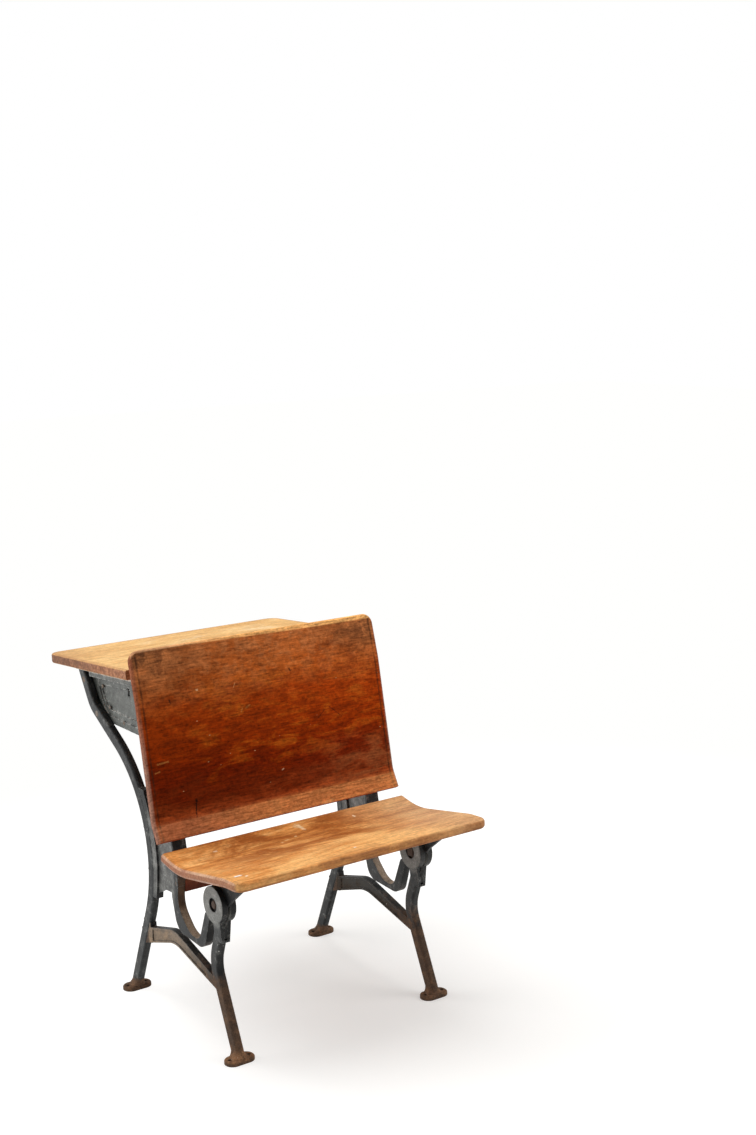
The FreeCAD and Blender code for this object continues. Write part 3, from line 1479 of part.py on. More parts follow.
def check(pieces):
    """Stop if any object failed or any piece is empty or broken."""
    for item in doc.Objects:
        if "Invalid" in item.State or "Error" in item.State:
            raise RuntimeError("%s is not valid: %s" % (item.Label, item.State))
    for piece in pieces:
        shape = piece.Shape
        if shape.isNull() or not shape.isValid() or not shape.Solids:
            raise RuntimeError("%s has no sound shape" % piece.Label)


def export(pieces):
    """Write each piece to its own file."""
    os.makedirs("parts", exist_ok=True)
    for piece in pieces:
        piece.Shape.exportStep("parts/%s.step" % piece.Label)
        print("%-24s solids %d  volume %.0f" % (piece.Label, len(piece.Shape.Solids), piece.Shape.Volume))


made = build()
doc.recompute()
check(made)
export(made)
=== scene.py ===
"""Looks of a school desk with a lift lid, a folding seat and iron castings.

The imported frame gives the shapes. This file dresses every piece and adds the small pieces that
the solids leave out. Lengths are in metres, X runs across the desk, Y from the seat to the desk.
"""

import logging
import math
from dataclasses import dataclass
from enum import Enum
from typing import Any, Dict, Iterable, List, Optional, Sequence, Tuple, Union

import bpy
from bpy.types import ColorRamp, Material, NodeSocket, NodeTree, Object
from mathutils import Matrix, Vector


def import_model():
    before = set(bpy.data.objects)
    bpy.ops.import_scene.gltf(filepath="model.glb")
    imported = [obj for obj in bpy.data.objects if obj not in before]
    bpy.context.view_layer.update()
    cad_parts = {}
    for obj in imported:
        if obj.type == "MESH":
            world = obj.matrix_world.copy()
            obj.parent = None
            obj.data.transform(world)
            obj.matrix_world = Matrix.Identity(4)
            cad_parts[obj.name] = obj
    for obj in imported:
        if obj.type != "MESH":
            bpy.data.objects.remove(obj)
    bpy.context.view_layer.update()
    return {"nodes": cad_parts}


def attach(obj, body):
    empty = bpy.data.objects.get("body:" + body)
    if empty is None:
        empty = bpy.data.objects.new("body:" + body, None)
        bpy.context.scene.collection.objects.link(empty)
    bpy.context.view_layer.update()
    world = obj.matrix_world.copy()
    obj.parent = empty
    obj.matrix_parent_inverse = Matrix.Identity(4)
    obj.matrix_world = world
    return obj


LOG = logging.getLogger("school_desk")

Pair = Tuple[float, float]
Colour = Tuple[float, float, float]
Triple = Tuple[float, float, float]
Value = Union["Term", float, Tuple[float, ...]]
Inputs = Dict[Any, Value]
Stops = Sequence[Tuple[float, Colour]]


# Shader tools


class Term:
    """One output of a node, on which arithmetic adds Math nodes."""

    def __init__(self, graph: "Graph", socket: NodeSocket) -> None:
        """Keeps the socket and the graph that it belongs to."""
        self.graph = graph
        self.socket = socket

    def math(self, operation: str, *others: Value) -> "Term":
        """Adds one Math node.

        Args:
            operation: name of the operation.
            others: the values after this one.

        Returns:
            The node's output.
        """
        values: Inputs = dict(enumerate((self, *others)))
        return self.graph.add("Math", {"operation": operation}, values)

    def __add__(self, other: Value) -> "Term":
        """The sum."""
        return self.math("ADD", other)

    __radd__ = __add__

    def __sub__(self, other: Value) -> "Term":
        """The difference."""
        return self.math("SUBTRACT", other)

    def __rsub__(self, other: Value) -> "Term":
        """The difference, from the right."""
        return self.graph.add("Math", {"operation": "SUBTRACT"}, {0: other, 1: self})

    def __mul__(self, other: Value) -> "Term":
        """The product."""
        return self.math("MULTIPLY", other)

    __rmul__ = __mul__

    def __truediv__(self, other: Value) -> "Term":
        """The quotient."""
        return self.math("DIVIDE", other)

    def size(self) -> "Term":
        """The value without its sign."""
        return self.math("ABSOLUTE")

    def most(self, other: Value) -> "Term":
        """The larger of two values."""
        return self.math("MAXIMUM", other)

    def held(self) -> "Term":
        """The value kept between nought and one."""
        return self.math("MAXIMUM", 0.0).math("MINIMUM", 1.0)

    def rise(self, low: float, high: float) -> "Term":
        """A smooth step from nought at low to one at high; low may be the larger.

        Args:
            low: value where the step starts.
            high: value where the step ends.

        Returns:
            The step's output.
        """
        values: Inputs = {0: self, 1: low, 2: high, 3: 0.0, 4: 1.0}
        if low > high:
            values = {0: self, 1: high, 2: low, 3: 1.0, 4: 0.0}
        return self.graph.add("MapRange", {"interpolation_type": "SMOOTHSTEP"}, values)


class Graph:
    """The nodes of one material or of the world."""

    # Cosines of the turn at which an edge starts to show and shows in full.
    edge_turn: Pair = (0.992, 0.86)

    def __init__(self, tree: NodeTree) -> None:
        """Clears the tree and keeps it."""
        self.tree = tree
        self.tree.nodes.clear()

    def add(self, kind: str, settings: Optional[Dict[str, Any]] = None,
            values: Optional[Inputs] = None, output: Any = 0) -> Term:
        """Adds any node.

        Args:
            kind: the node's type, without its first word.
            settings: its settings; "stops" are a ramp's places and colours.
            values: a number, a tuple or a Term for each socket, by name or index.
            output: name or index of the output that is returned.

        Returns:
            The chosen output.
        """
        node = self.tree.nodes.new(f"ShaderNode{kind}")
        for name, value in (settings or {}).items():
            if name == "stops":
                self.set_stops(node.color_ramp, value)
            else:
                setattr(node, name, value)
        for socket, value in (values or {}).items():
            place = node.inputs[socket]
            if isinstance(value, Term):
                self.tree.links.new(value.socket, place)
            elif isinstance(value, tuple) and place.type == "RGBA":
                place.default_value = (*value[:3], 1.0)
            else:
                place.default_value = value
        return Term(self, node.outputs[output] if len(node.outputs) else None)

    @staticmethod
    def set_stops(ramp: ColorRamp, stops: Stops) -> None:
        """Sets a ramp's stops.

        Args:
            ramp: the ramp.
            stops: places with their colours, in order.
        """
        while len(ramp.elements) > 1:
            ramp.elements.remove(ramp.elements[-1])
        ramp.elements[0].position = stops[0][0]
        ramp.elements[0].color = (*stops[0][1], 1.0)
        for place, colour in stops[1:]:
            ramp.elements.new(place).color = (*colour, 1.0)

    def vector(self, operation: str, values: Inputs, output: Any = 0) -> Term:
        """Adds one Vector Math node."""
        return self.add("VectorMath", {"operation": operation}, values, output)

    def place(self) -> Term:
        """Object coordinates, in metres."""
        return self.add("TexCoord", output="Object")

    def axis(self, vector: Term, name: str) -> Term:
        """One component of a vector."""
        return self.add("SeparateXYZ", None, {0: vector}, name)

    def at(self, name: str) -> Term:
        """One object coordinate."""
        return self.axis(self.place(), name)

    def facing(self, name: str) -> Term:
        """One component of the surface's outward direction."""
        return self.axis(self.add("NewGeometry", output="Normal"), name)

    def stretch(self, scale: Triple, shift: Triple = (0.0, 0.0, 0.0)) -> Term:
        """Object coordinates, scaled and shifted.

        Args:
            scale: factors along the three axes.
            shift: what is added afterwards.

        Returns:
            The new vector.
        """
        values: Inputs = {"Vector": self.place(), "Scale": scale, "Location": shift}
        return self.add("Mapping", None, values)

    def noise(self, scale: float, detail: float, rough: float = 0.5, warp: float = 0.0,
              vector: Optional[Term] = None) -> Term:
        """Cloudy noise.

        Args:
            scale: clouds for each unit of the vector.
            detail: how many finer layers it has.
            rough: how strong the finer layers are.
            warp: how far it is pulled about.
            vector: where it is read, if that isn't the object coordinates.

        Returns:
            The noise, about 0.5 on average.
        """
        values: Inputs = {"Vector": vector or self.place(), "Scale": scale, "Detail": detail,
                          "Roughness": rough, "Distortion": warp}
        return self.add("TexNoise", None, values)

    def cells(self, vector: Term, scale: float) -> Term:
        """Distance to the nearest of scattered points."""
        values: Inputs = {"Vector": vector, "Scale": scale}
        return self.add("TexVoronoi", None, values, "Distance")

    def mix(self, factor: Value, first: Value, second: Value) -> Term:
        """Mixes two colours.

        Args:
            factor: share of the second colour.
            first: the first colour.
            second: the second colour.

        Returns:
            The mixed colour.
        """
        values: Inputs = {0: factor, 6: first, 7: second}
        return self.add("Mix", {"data_type": "RGBA", "clamp_factor": True}, values, 2)

    def scaled(self, colour: Term, amount: Term) -> Term:
        """A colour made lighter or darker by a number."""
        return self.vector("SCALE", {0: colour, "Scale": amount})

    def reach(self, centre: Triple, axes: Triple) -> Term:
        """Distance from a centre along chosen axes.

        Args:
            centre: the centre.
            axes: one for each axis that counts, nought for the others.

        Returns:
            The distance.
        """
        away = self.vector("SUBTRACT", {0: self.place(), 1: centre})
        return self.vector("LENGTH", {0: self.vector("MULTIPLY", {0: away, 1: axes})}, "Value")

    def ramp(self, factor: Term, stops: Stops) -> Term:
        """A colour ramp."""
        return self.add("ValToRGB", {"stops": stops}, {0: factor})

    def round_edges(self, radius: float) -> Term:
        """The surface's direction with its edges rounded in the shading."""
        return self.add("Bevel", {"samples": 4}, {"Radius": radius})

    def edge(self, radius: float) -> Term:
        """A mask of the sharp edges.

        Args:
            radius: how far from an edge the mask reaches.

        Returns:
            Nought on flats, rising towards one at edges.
        """
        flat = self.add("NewGeometry", output="Normal")
        turned = self.vector("DOT_PRODUCT", {0: self.round_edges(radius), 1: flat}, "Value")
        return turned.rise(*self.edge_turn)

    def bump(self, height: Term, distance: float, strength: float, normal: Term) -> Term:
        """A bumped surface direction.

        Args:
            height: the relief, from nought to one.
            distance: its depth.
            strength: its share.
            normal: the direction that it starts from.

        Returns:
            The new direction.
        """
        values: Inputs = {"Height": height, "Distance": distance, "Strength": strength,
                          "Normal": normal}
        return self.add("Bump", None, values)

    def surface(self, colour: Term, roughness: Term, normal: Term,
                metallic: Value = 0.0, sheen: float = 0.5) -> None:
        """Adds the shader and its output.

        Args:
            colour: the surface's colour.
            roughness: its roughness.
            normal: its direction, with the relief.
            metallic: share of bare metal.
            sheen: how strongly it reflects.
        """
        values: Inputs = {"Base Color": colour, "Roughness": roughness, "Normal": normal,
                          "Metallic": metallic, "Specular IOR Level": sheen}
        shader = self.add("BsdfPrincipled", None, values)
        self.add("OutputMaterial", None, {"Surface": shader})


def new_material(name: str) -> Tuple[Material, Graph]:
    """An empty node material and its graph.

    Args:
        name: the material's name.

    Returns:
        The material and the graph.
    """
    material = bpy.data.materials.new(name)
    material.use_nodes = True
    return material, Graph(material.node_tree)


# Finishes


@dataclass(frozen=True)
class Span:
    """A stretch of one coordinate, with soft ends."""

    start: float
    full: float
    fading: float
    end: float

    def mask(self, value: Term) -> Term:
        """One inside the stretch, nought outside."""
        return value.rise(self.start, self.full) * value.rise(self.end, self.fading)


@dataclass(frozen=True)
class Mark:
    """A scratch, a chip or a stain at one place of a board, seen square to the board."""

    across: float
    along: float
    length: float
    width: float
    turn: float
    colour: Colour
    strength: float = 0.8
    raggedness: float = 3.0
    outline: Pair = (1.1, 0.55)

    def paint(self, graph: Graph, colour: Term, across: Term, along: Term, ragged: Term) -> Term:
        """Adds the mark to a colour.

        Args:
            graph: the material's graph.
            colour: the colour so far.
            across: the board's first coordinate.
            along: its second coordinate.
            ragged: noise that breaks the mark's outline.

        Returns:
            The new colour.
        """
        cosine = math.cos(math.radians(self.turn))
        sine = math.sin(math.radians(self.turn))
        first = across - self.across
        second = along - self.along
        lengthwise = (first * cosine + second * sine).size() / (self.length / 2)
        crosswise = (second * cosine - first * sine).size() / (self.width / 2)
        near = lengthwise.most(crosswise) + (ragged - 0.5) * self.raggedness
        return graph.mix(near.rise(*self.outline) * self.strength, colour, self.colour)


@dataclass(frozen=True)
class CastIron:
    """Old black paint on cast iron, faded, rubbed at the edges and rusty near the floor."""

    name: str
    paint: Colour = (0.014, 0.015, 0.0155)
    faded: Colour = (0.054, 0.058, 0.058)
    worn: Colour = (0.33, 0.33, 0.31)
    rust: Colour = (0.084, 0.052, 0.034)
    pale_rust: Colour = (0.28, 0.145, 0.072)
    chip: Colour = (0.78, 0.77, 0.73)
    rust_height: float = 0.25
    rust_amount: float = 0.0
    wear: float = 0.75
    rub_radius: float = 0.0016
    # Share and reach of the painted shade along creases and edges.
    crevice_shade: float = 0.6
    crevice_shade_radius: float = 0.005
    corner_radius: float = 0.0022
    foot_top: float = 0.034
    foot_rust_full: float = 0.014
    blend_width: float = 0.05
    relief: float = 0.0009
    sheen: float = 0.18

    def regions(self, graph: Graph, colour: Term, blotches: Term) -> Term:
        """What single places of a casting add to the colour; nothing on a plain one.

        Args:
            graph: the material's graph; not used here.
            colour: the colour so far.
            blotches: fine noise; not used here.

        Returns:
            The new colour.
        """
        return colour

    def is_left(self, graph: Graph) -> Term:
        """One on the left, nought on the right."""
        return graph.at("X").rise(self.blend_width, -self.blend_width)

    def foot_rust(self, graph: Graph, blotches: Term) -> Term:
        """Share of pale rust on the feet, which is highest at the front left.

        Args:
            graph: the material's graph.
            blotches: fine noise.

        Returns:
            The share.
        """
        front = graph.at("Y").rise(self.blend_width, -self.blend_width)
        low = graph.at("Z").rise(self.foot_top, self.foot_rust_full)
        upward = graph.facing("Z").rise(-0.1, 0.7) * 0.6 + 0.25
        patchy = 0.25 + blotches.rise(0.3, 0.62)
        return low * upward * patchy * (0.35 + self.is_left(graph) * front * 0.65)

    def material(self) -> Material:
        """The finish as a material."""
        made, graph = new_material(self.name)
        clouds = graph.noise(15.0, 5.0, 0.62)
        blotches = graph.noise(60.0, 5.0, 0.7)
        grain = graph.noise(330.0, 4.0, 0.7)
        paint = graph.mix(clouds.rise(0.36, 0.66), self.paint, self.faded)
        paint = graph.mix(blotches.rise(0.52, 0.76) * 0.35, paint, self.worn)
        low = graph.at("Z").rise(self.rust_height, self.rust_height * 0.25)
        uneven = clouds * 1.1 + blotches * 0.6 - 1.5
        rusty = (uneven + low * 1.35 + self.rust_amount).rise(-0.15, 0.35)
        rust = graph.mix(blotches.rise(0.44, 0.74) * 0.3, self.rust, self.pale_rust)
        colour = self.regions(graph, graph.mix(rusty, paint, rust), blotches)
        colour = graph.mix(self.foot_rust(graph, blotches), colour, self.pale_rust)
        # Painted shade: creases and edges darkened towards the black paint, less near the floor.
        crevice_shade_mask = graph.edge(self.crevice_shade_radius) * (1 - low * 0.7)
        colour = graph.mix(crevice_shade_mask * self.crevice_shade, colour, self.paint)
        # Rubbed edges where the paint is worn; on the box ends they are widened into painted
        # highlight lines.
        rubbed = graph.edge(self.rub_radius) * blotches.rise(0.38, 0.6) * self.wear
        colour = graph.mix(rubbed * (1 - low * 0.75), colour, self.worn)
        colour = graph.scaled(colour, 1 + (grain - 0.5) * 1.9 + (blotches - 0.5))
        flecks = graph.cells(graph.place(), 120.0).rise(0.15, 0.09)
        flecks = flecks * graph.noise(30.0, 2.0).rise(0.62, 0.68)
        colour = graph.mix(flecks * 0.85, colour, self.chip)
        roughness = 0.36 + blotches * 0.16 + rusty * 0.36
        normal = graph.bump(grain * 0.4 + blotches * 0.6, self.relief, 0.8,
                            graph.round_edges(self.corner_radius))
        graph.surface(colour, roughness.held(), normal, sheen=self.sheen)
        return made


@dataclass(frozen=True)
class StandardIron(CastIron):
    """The front casting: dusty left brace, brown inside of the loop, paler web and disc."""

    dust: Colour = (0.27, 0.195, 0.13)
    thin_dust: Colour = (0.2, 0.15, 0.105)
    # Painted shade: the right brace's colour in place of dust.
    right_brace_shade: Colour = (0.026, 0.021, 0.014)
    loop_brown: Colour = (0.08, 0.04, 0.017)
    loop_dust: Colour = (0.42, 0.34, 0.25)
    # Painted shade for the hollow round the hinge bolt.
    recess_shade: Colour = (0.006, 0.006, 0.006)
    hinge: Triple = (0.0, -0.22017, 0.296)
    recess_shade_edge: Pair = (0.015, 0.0125)
    disc_edge: Pair = (0.05, 0.034)
    brace_depth: Span = Span(-0.215, -0.1, 0.058, 0.07)
    brace_height: Span = Span(0.115, 0.128, 0.187, 0.194)
    loop_depth: Span = Span(-0.178, -0.16, -0.062, -0.05)
    loop_height: Span = Span(0.192, 0.2, 0.285, 0.335)
    web_depth: Span = Span(-0.062, -0.05, 0.03, 0.05)
    web_height: Span = Span(0.228, 0.25, 0.44, 0.465)

    def regions(self, graph: Graph, colour: Term, blotches: Term) -> Term:
        """What single places of a casting add to the colour.

        Args:
            graph: the material's graph.
            colour: the colour so far.
            blotches: fine noise.

        Returns:
            The new colour.
        """
        side = graph.facing("X").size()
        depth = graph.at("Y")
        height = graph.at("Z")
        brace = self.brace_depth.mask(depth) * self.brace_height.mask(height) * side.rise(0.4, 0.9)
        dust = graph.mix(depth.rise(-0.14, -0.02), self.thin_dust, self.dust)
        # Painted shade: the right brace is darkened instead of dusty.
        dust = graph.mix(self.is_left(graph), self.right_brace_shade, dust)
        colour = graph.mix((brace * (0.2 + blotches * 1.1)).held(), colour, dust)
        loop = self.loop_depth.mask(depth) * self.loop_height.mask(height) * side.rise(0.6, 0.25)
        inside = graph.mix(graph.facing("Z").rise(0.25, 0.9), self.loop_brown, self.loop_dust)
        colour = graph.mix(loop * (0.45 + blotches * 0.8).held(), colour, inside)
        web = self.web_depth.mask(depth) * self.web_height.mask(height) * side.rise(0.7, 0.95)
        colour = graph.mix(web * (0.18 + blotches.rise(0.3, 0.7) * 0.32), colour, self.worn)
        away = graph.reach(self.hinge, (0.0, 1.0, 1.0))
        disc = away.rise(*self.disc_edge) * side.rise(0.7, 0.95)
        colour = graph.mix(disc * (0.28 + blotches * 0.55), colour, self.worn)
        # Painted shade: the hollow round the hinge bolt darkened almost to black.
        return graph.mix(away.rise(*self.recess_shade_edge) * 0.85, colour, self.recess_shade)


@dataclass(frozen=True)
class BoxIron(CastIron):
    """The end of the book box, with a pale dusty rail under the lid, lightened as painted light."""

    # Pale dusty rail, made paler still as painted light where the lid shades it.
    rail: Colour = (0.85, 0.72, 0.6)
    front_plate: Colour = (0.19, 0.2, 0.185)
    rear_plate: Colour = (0.095, 0.103, 0.09)
    # Painted highlight on the upward faces of the moulding steps.
    ledge_highlight: Colour = (0.46, 0.46, 0.42)
    rail_height: float = 0.6725
    lid_front: float = 0.0238
    slope: float = 0.0807

    def regions(self, graph: Graph, colour: Term, blotches: Term) -> Term:
        """What single places of a casting add to the colour.

        Args:
            graph: the material's graph.
            colour: the colour so far.
            blotches: fine noise.

        Returns:
            The new colour.
        """
        depth = graph.at("Y")
        level = graph.at("Z") + (depth - self.lid_front) * self.slope
        side = graph.facing("X").size().rise(0.4, 0.8)
        below = side * level.rise(self.rail_height, self.rail_height - 0.004)
        plate = graph.mix(depth.rise(0.33, 0.18), self.rear_plate, self.front_plate)
        colour = graph.mix(below * (0.35 + blotches * 0.6), colour, plate)
        # Painted highlight: the upward faces of the moulding steps made pale.
        ledge_highlights = (1 - side) * graph.facing("Z").rise(0.2, 0.6)
        colour = graph.mix(ledge_highlights * 0.75, colour, self.ledge_highlight)
        # Pale dusty rail, made paler as painted light where the lid shades it.
        rail = side * level.rise(self.rail_height - 0.004, self.rail_height - 0.001)
        return graph.mix(rail * blotches.rise(0.25, 0.5) * 0.9, colour, self.rail)


@dataclass(frozen=True)
class Wood:
    """The patterns of one board, each about 0.5 on average."""

    cloud: Term
    patch: Term
    streak: Term
    dash: Term
    fleck: Term
    pores: Term


@dataclass(frozen=True)
class Timber:
    """Old varnished board with its grain along X."""

    name: str
    light: Colour = (0.8, 0.5, 0.23)
    middle: Colour = (0.62, 0.32, 0.12)
    dark: Colour = (0.3, 0.13, 0.045)
    end: Colour = (0.42, 0.22, 0.11)
    shift: Triple = (0.0, 0.0, 0.0)
    figure: float = 0.5
    gloss: float = 0.5
    sheen: float = 0.25
    contrast: float = 1.0
    plainness: float = 0.45
    streakiness: float = 0.25
    relief: float = 0.0003
    corner_radius: float = 0.0015

    def grain(self, graph: Graph) -> Wood:
        """The board's patterns."""
        def pattern(scale: Triple, detail: float, warp: float) -> Term:
            """Noise that is stretched along the board."""
            return graph.noise(1.0, detail, 0.65, warp, graph.stretch(scale, self.shift))

        return Wood(cloud=pattern((6.0, 14.0, 14.0), 6.0, 0.6),
                    patch=pattern((15.0, 42.0, 42.0), 5.0, 0.5),
                    streak=pattern((9.0, 120.0, 120.0), 5.0, 0.3),
                    dash=pattern((40.0, 300.0, 300.0), 3.0, 0.0),
                    fleck=pattern((150.0, 170.0, 170.0), 4.0, 0.0),
                    pores=pattern((60.0, 1100.0, 1100.0), 2.0, 0.0))

    def board_colour(self, graph: Graph, wood: Wood, lean: Value = 0.0) -> Term:
        """The wood's own colour.

        Args:
            graph: the material's graph.
            wood: the board's patterns.
            lean: what is added towards the light colour.

        Returns:
            The colour.
        """
        clouds = wood.cloud * self.plainness
        patches = wood.patch * (1.0 - self.plainness - self.streakiness)
        figure = clouds + patches + wood.streak * self.streakiness + lean
        colour = graph.ramp(figure, [(0.38, self.dark), (0.48, self.middle), (0.58, self.light)])
        lines = wood.streak.rise(0.54, 0.7) * wood.patch.rise(0.62, 0.42) * self.figure
        return graph.mix(lines, colour, self.dark)

    def finish(self, graph: Graph, colour: Term, wood: Wood) -> None:
        """Adds the fine grain and the surface with its relief.

        Args:
            graph: the material's graph.
            colour: the colour without its grain.
            wood: the board's patterns.
        """
        fine = (wood.dash - 0.5) * 1.1 + (wood.fleck - 0.5) * 0.9
        fine = fine + (wood.streak - 0.5) * 0.6
        colour = graph.scaled(colour, 1 + fine * self.contrast)
        relief = wood.dash * 0.5 + wood.pores * 0.3 + wood.streak * 0.2
        normal = graph.bump(relief, self.relief, 0.6, graph.round_edges(self.corner_radius))
        roughness = self.gloss + (wood.patch - 0.5) * 0.35
        graph.surface(colour, roughness, normal, sheen=self.sheen)

    def material(self) -> Material:
        """The finish as a material."""
        made, graph = new_material(self.name)
        wood = self.grain(graph)
        self.finish(graph, self.board_colour(graph, wood), wood)
        return made


@dataclass(frozen=True)
class BackTimber(Timber):
    """The backrest: deep red below, worn to orange above, grimy at its top corners."""

    low: float = 0.383
    high: float = 0.747
    half: float = 0.285
    ladder: Stops = (
        (0.02, (0.41, 0.082, 0.02)), (0.1, (0.29, 0.05, 0.01)),
        (0.18, (0.15, 0.02, 0.003)), (0.3, (0.145, 0.012, 0.0005)),
        (0.45, (0.24, 0.026, 0.0008)), (0.62, (0.285, 0.036, 0.0022)),
        (0.8, (0.37, 0.078, 0.011)), (0.95, (0.41, 0.112, 0.026)))
    gold: Colour = (0.42, 0.105, 0.008)
    gold_level: Span = Span(0.18, 0.42, 0.62, 0.9)
    shade: Colour = (0.075, 0.01, 0.0015)
    orange: Colour = (0.27, 0.078, 0.024)
    orange_level: Span = Span(0.06, 0.14, 0.22, 0.42)
    grime: Colour = (0.07, 0.036, 0.018)
    dust: Colour = (0.48, 0.2, 0.075)
    spot: Colour = (0.6, 0.36, 0.18)
    groove: Colour = (0.035, 0.014, 0.007)
    groove_inset: float = 0.0115
    upper_end: Colour = (0.3, 0.095, 0.045)
    # Colours of the pale top band: worn varnish with a painted highlight, lighter on the right as
    # painted light.
    left_band: Colour = (0.54, 0.27, 0.13)
    right_band: Colour = (0.88, 0.45, 0.15)
    band_bottom: float = 0.7425
    band_growth: float = 0.005
    marks: Tuple[Mark, ...] = (
        Mark(-0.189, 0.436, 0.034, 0.0042, 80.0, (0.022, 0.007, 0.004), 0.9),
        Mark(-0.216, 0.6445, 0.01, 0.0034, 105.0, (0.03, 0.01, 0.006), 0.8),
        Mark(0.063, 0.663, 0.008, 0.0034, 110.0, (0.03, 0.01, 0.006), 0.8),
        Mark(0.157, 0.566, 0.032, 0.0022, -42.0, (0.05, 0.01, 0.004), 0.7),
        Mark(0.126, 0.566, 0.026, 0.002, 38.0, (0.05, 0.01, 0.004), 0.6),
        Mark(-0.07, 0.6535, 0.013, 0.0026, 62.0, (0.6, 0.3, 0.12), 0.55),
        Mark(-0.154, 0.657, 0.005, 0.004, 0.0, (0.75, 0.48, 0.26), 0.6),
        Mark(-0.045, 0.608, 0.014, 0.0034, 25.0, (0.54, 0.22, 0.06), 0.5),
        Mark(-0.06, 0.603, 0.011, 0.0034, 60.0, (0.54, 0.22, 0.06), 0.4),
        Mark(0.016, 0.472, 0.006, 0.003, 20.0, (0.75, 0.48, 0.3), 0.6),
        Mark(-0.248, 0.532, 0.026, 0.0034, 4.0, (0.5, 0.2, 0.05), 0.5),
        Mark(-0.262, 0.516, 0.014, 0.0034, 8.0, (0.5, 0.2, 0.05), 0.4),
        Mark(0.104, 0.3915, 0.03, 0.0075, 0.0, (0.62, 0.28, 0.11), 0.5))

    def weathered_and_lit(self, graph: Graph, wood: Wood, level: Term, side: Term) -> Term:
        """The varnish with its large worn, golden and dark patches, made brighter towards the right
        as painted light.

        Args:
            graph: the material's graph.
            wood: the board's patterns.
            level: height, nought at the lower edge and one at the upper.
            side: X.

        Returns:
            The colour.
        """
        worn = level + (wood.cloud - 0.5) * 0.4 + (wood.patch - 0.5) * 0.3
        colour = graph.ramp(worn, self.ladder)
        # Painted light: the board made brighter towards the right side.
        colour = graph.scaled(colour, side.rise(-0.3, 0.3) * 0.42 + 0.86)
        gold = wood.patch.rise(0.46, 0.64) * wood.cloud.rise(0.4, 0.6)
        gold = gold * self.gold_level.mask(level) * side.rise(-0.26, -0.1)
        colour = graph.mix(gold * 0.6, colour, self.gold)
        shade = wood.patch.rise(0.54, 0.38) * wood.streak.rise(0.4, 0.6)
        colour = graph.mix(shade * 0.5, colour, self.shade)
        orange = side.rise(0.02, 0.22) * self.orange_level.mask(level)
        return graph.mix(orange * wood.patch.rise(0.4, 0.62) * 0.75, colour, self.orange)

    def soiled(self, graph: Graph, colour: Term, stain: Term, level: Term, side: Term) -> Term:
        """Adds grime at the top corners, dust between it, and small pale spots.

        Args:
            graph: the material's graph.
            colour: the colour so far.
            stain: fine noise.
            level: height, nought at the lower edge and one at the upper.
            side: X.

        Returns:
            The new colour.
        """
        far = (side.size() / self.half).rise(0.3, 0.95)
        grime = level.rise(0.66, 0.95) * far * stain.rise(0.36, 0.58)
        colour = graph.mix(grime * 0.72, colour, self.grime)
        dust = level.rise(0.62, 0.92) * stain.rise(0.58, 0.44)
        colour = graph.mix(dust * 0.3, colour, self.dust)
        spots = graph.cells(graph.stretch((1.0, 2.0, 2.0)), 30.0).rise(0.08, 0.035)
        spots = spots * graph.noise(11.0, 2.0).rise(0.52, 0.58)
        return graph.mix(spots * 0.6, colour, self.spot)

    def material(self) -> Material:
        """The finish as a material."""
        made, graph = new_material(self.name)
        wood = self.grain(graph)
        height = graph.at("Z")
        side = graph.at("X")
        level = (height - self.low) / (self.high - self.low)
        stain = graph.noise(26.0, 6.0, 0.7)
        colour = self.weathered_and_lit(graph, wood, level, side)
        colour = self.soiled(graph, colour, stain, level, side)
        for mark in self.marks:
            colour = mark.paint(graph, colour, side, height, wood.fleck)
        groove = (side.size() - (self.half - self.groove_inset)).size().rise(0.003, 0.0008)
        colour = graph.mix(groove * stain.rise(0.3, 0.55) * 0.65, colour, self.groove)
        rubbed = side.size().rise(self.half - 0.007, self.half - 0.0015)
        end = graph.mix(level.rise(0.35, 0.75), self.end, self.upper_end)
        colour = graph.mix(rubbed * 0.75, colour, end)
        # Pale band along the top edge and on the upward faces: worn varnish with a painted
        # highlight, lighter towards the right as painted light.
        band = height - self.band_bottom + side.rise(-0.2, 0.2) * self.band_growth
        band = band.rise(0.0, 0.003) * (0.7 + wood.dash * 0.5)
        band = graph.facing("Z").rise(0.35, 0.7).most(band)
        pale = graph.mix(side.rise(-0.26, 0.0), self.left_band, self.right_band)
        colour = graph.mix(band * (0.65 + wood.dash * 0.5).held(), colour, pale)
        self.finish(graph, colour, wood)
        return made


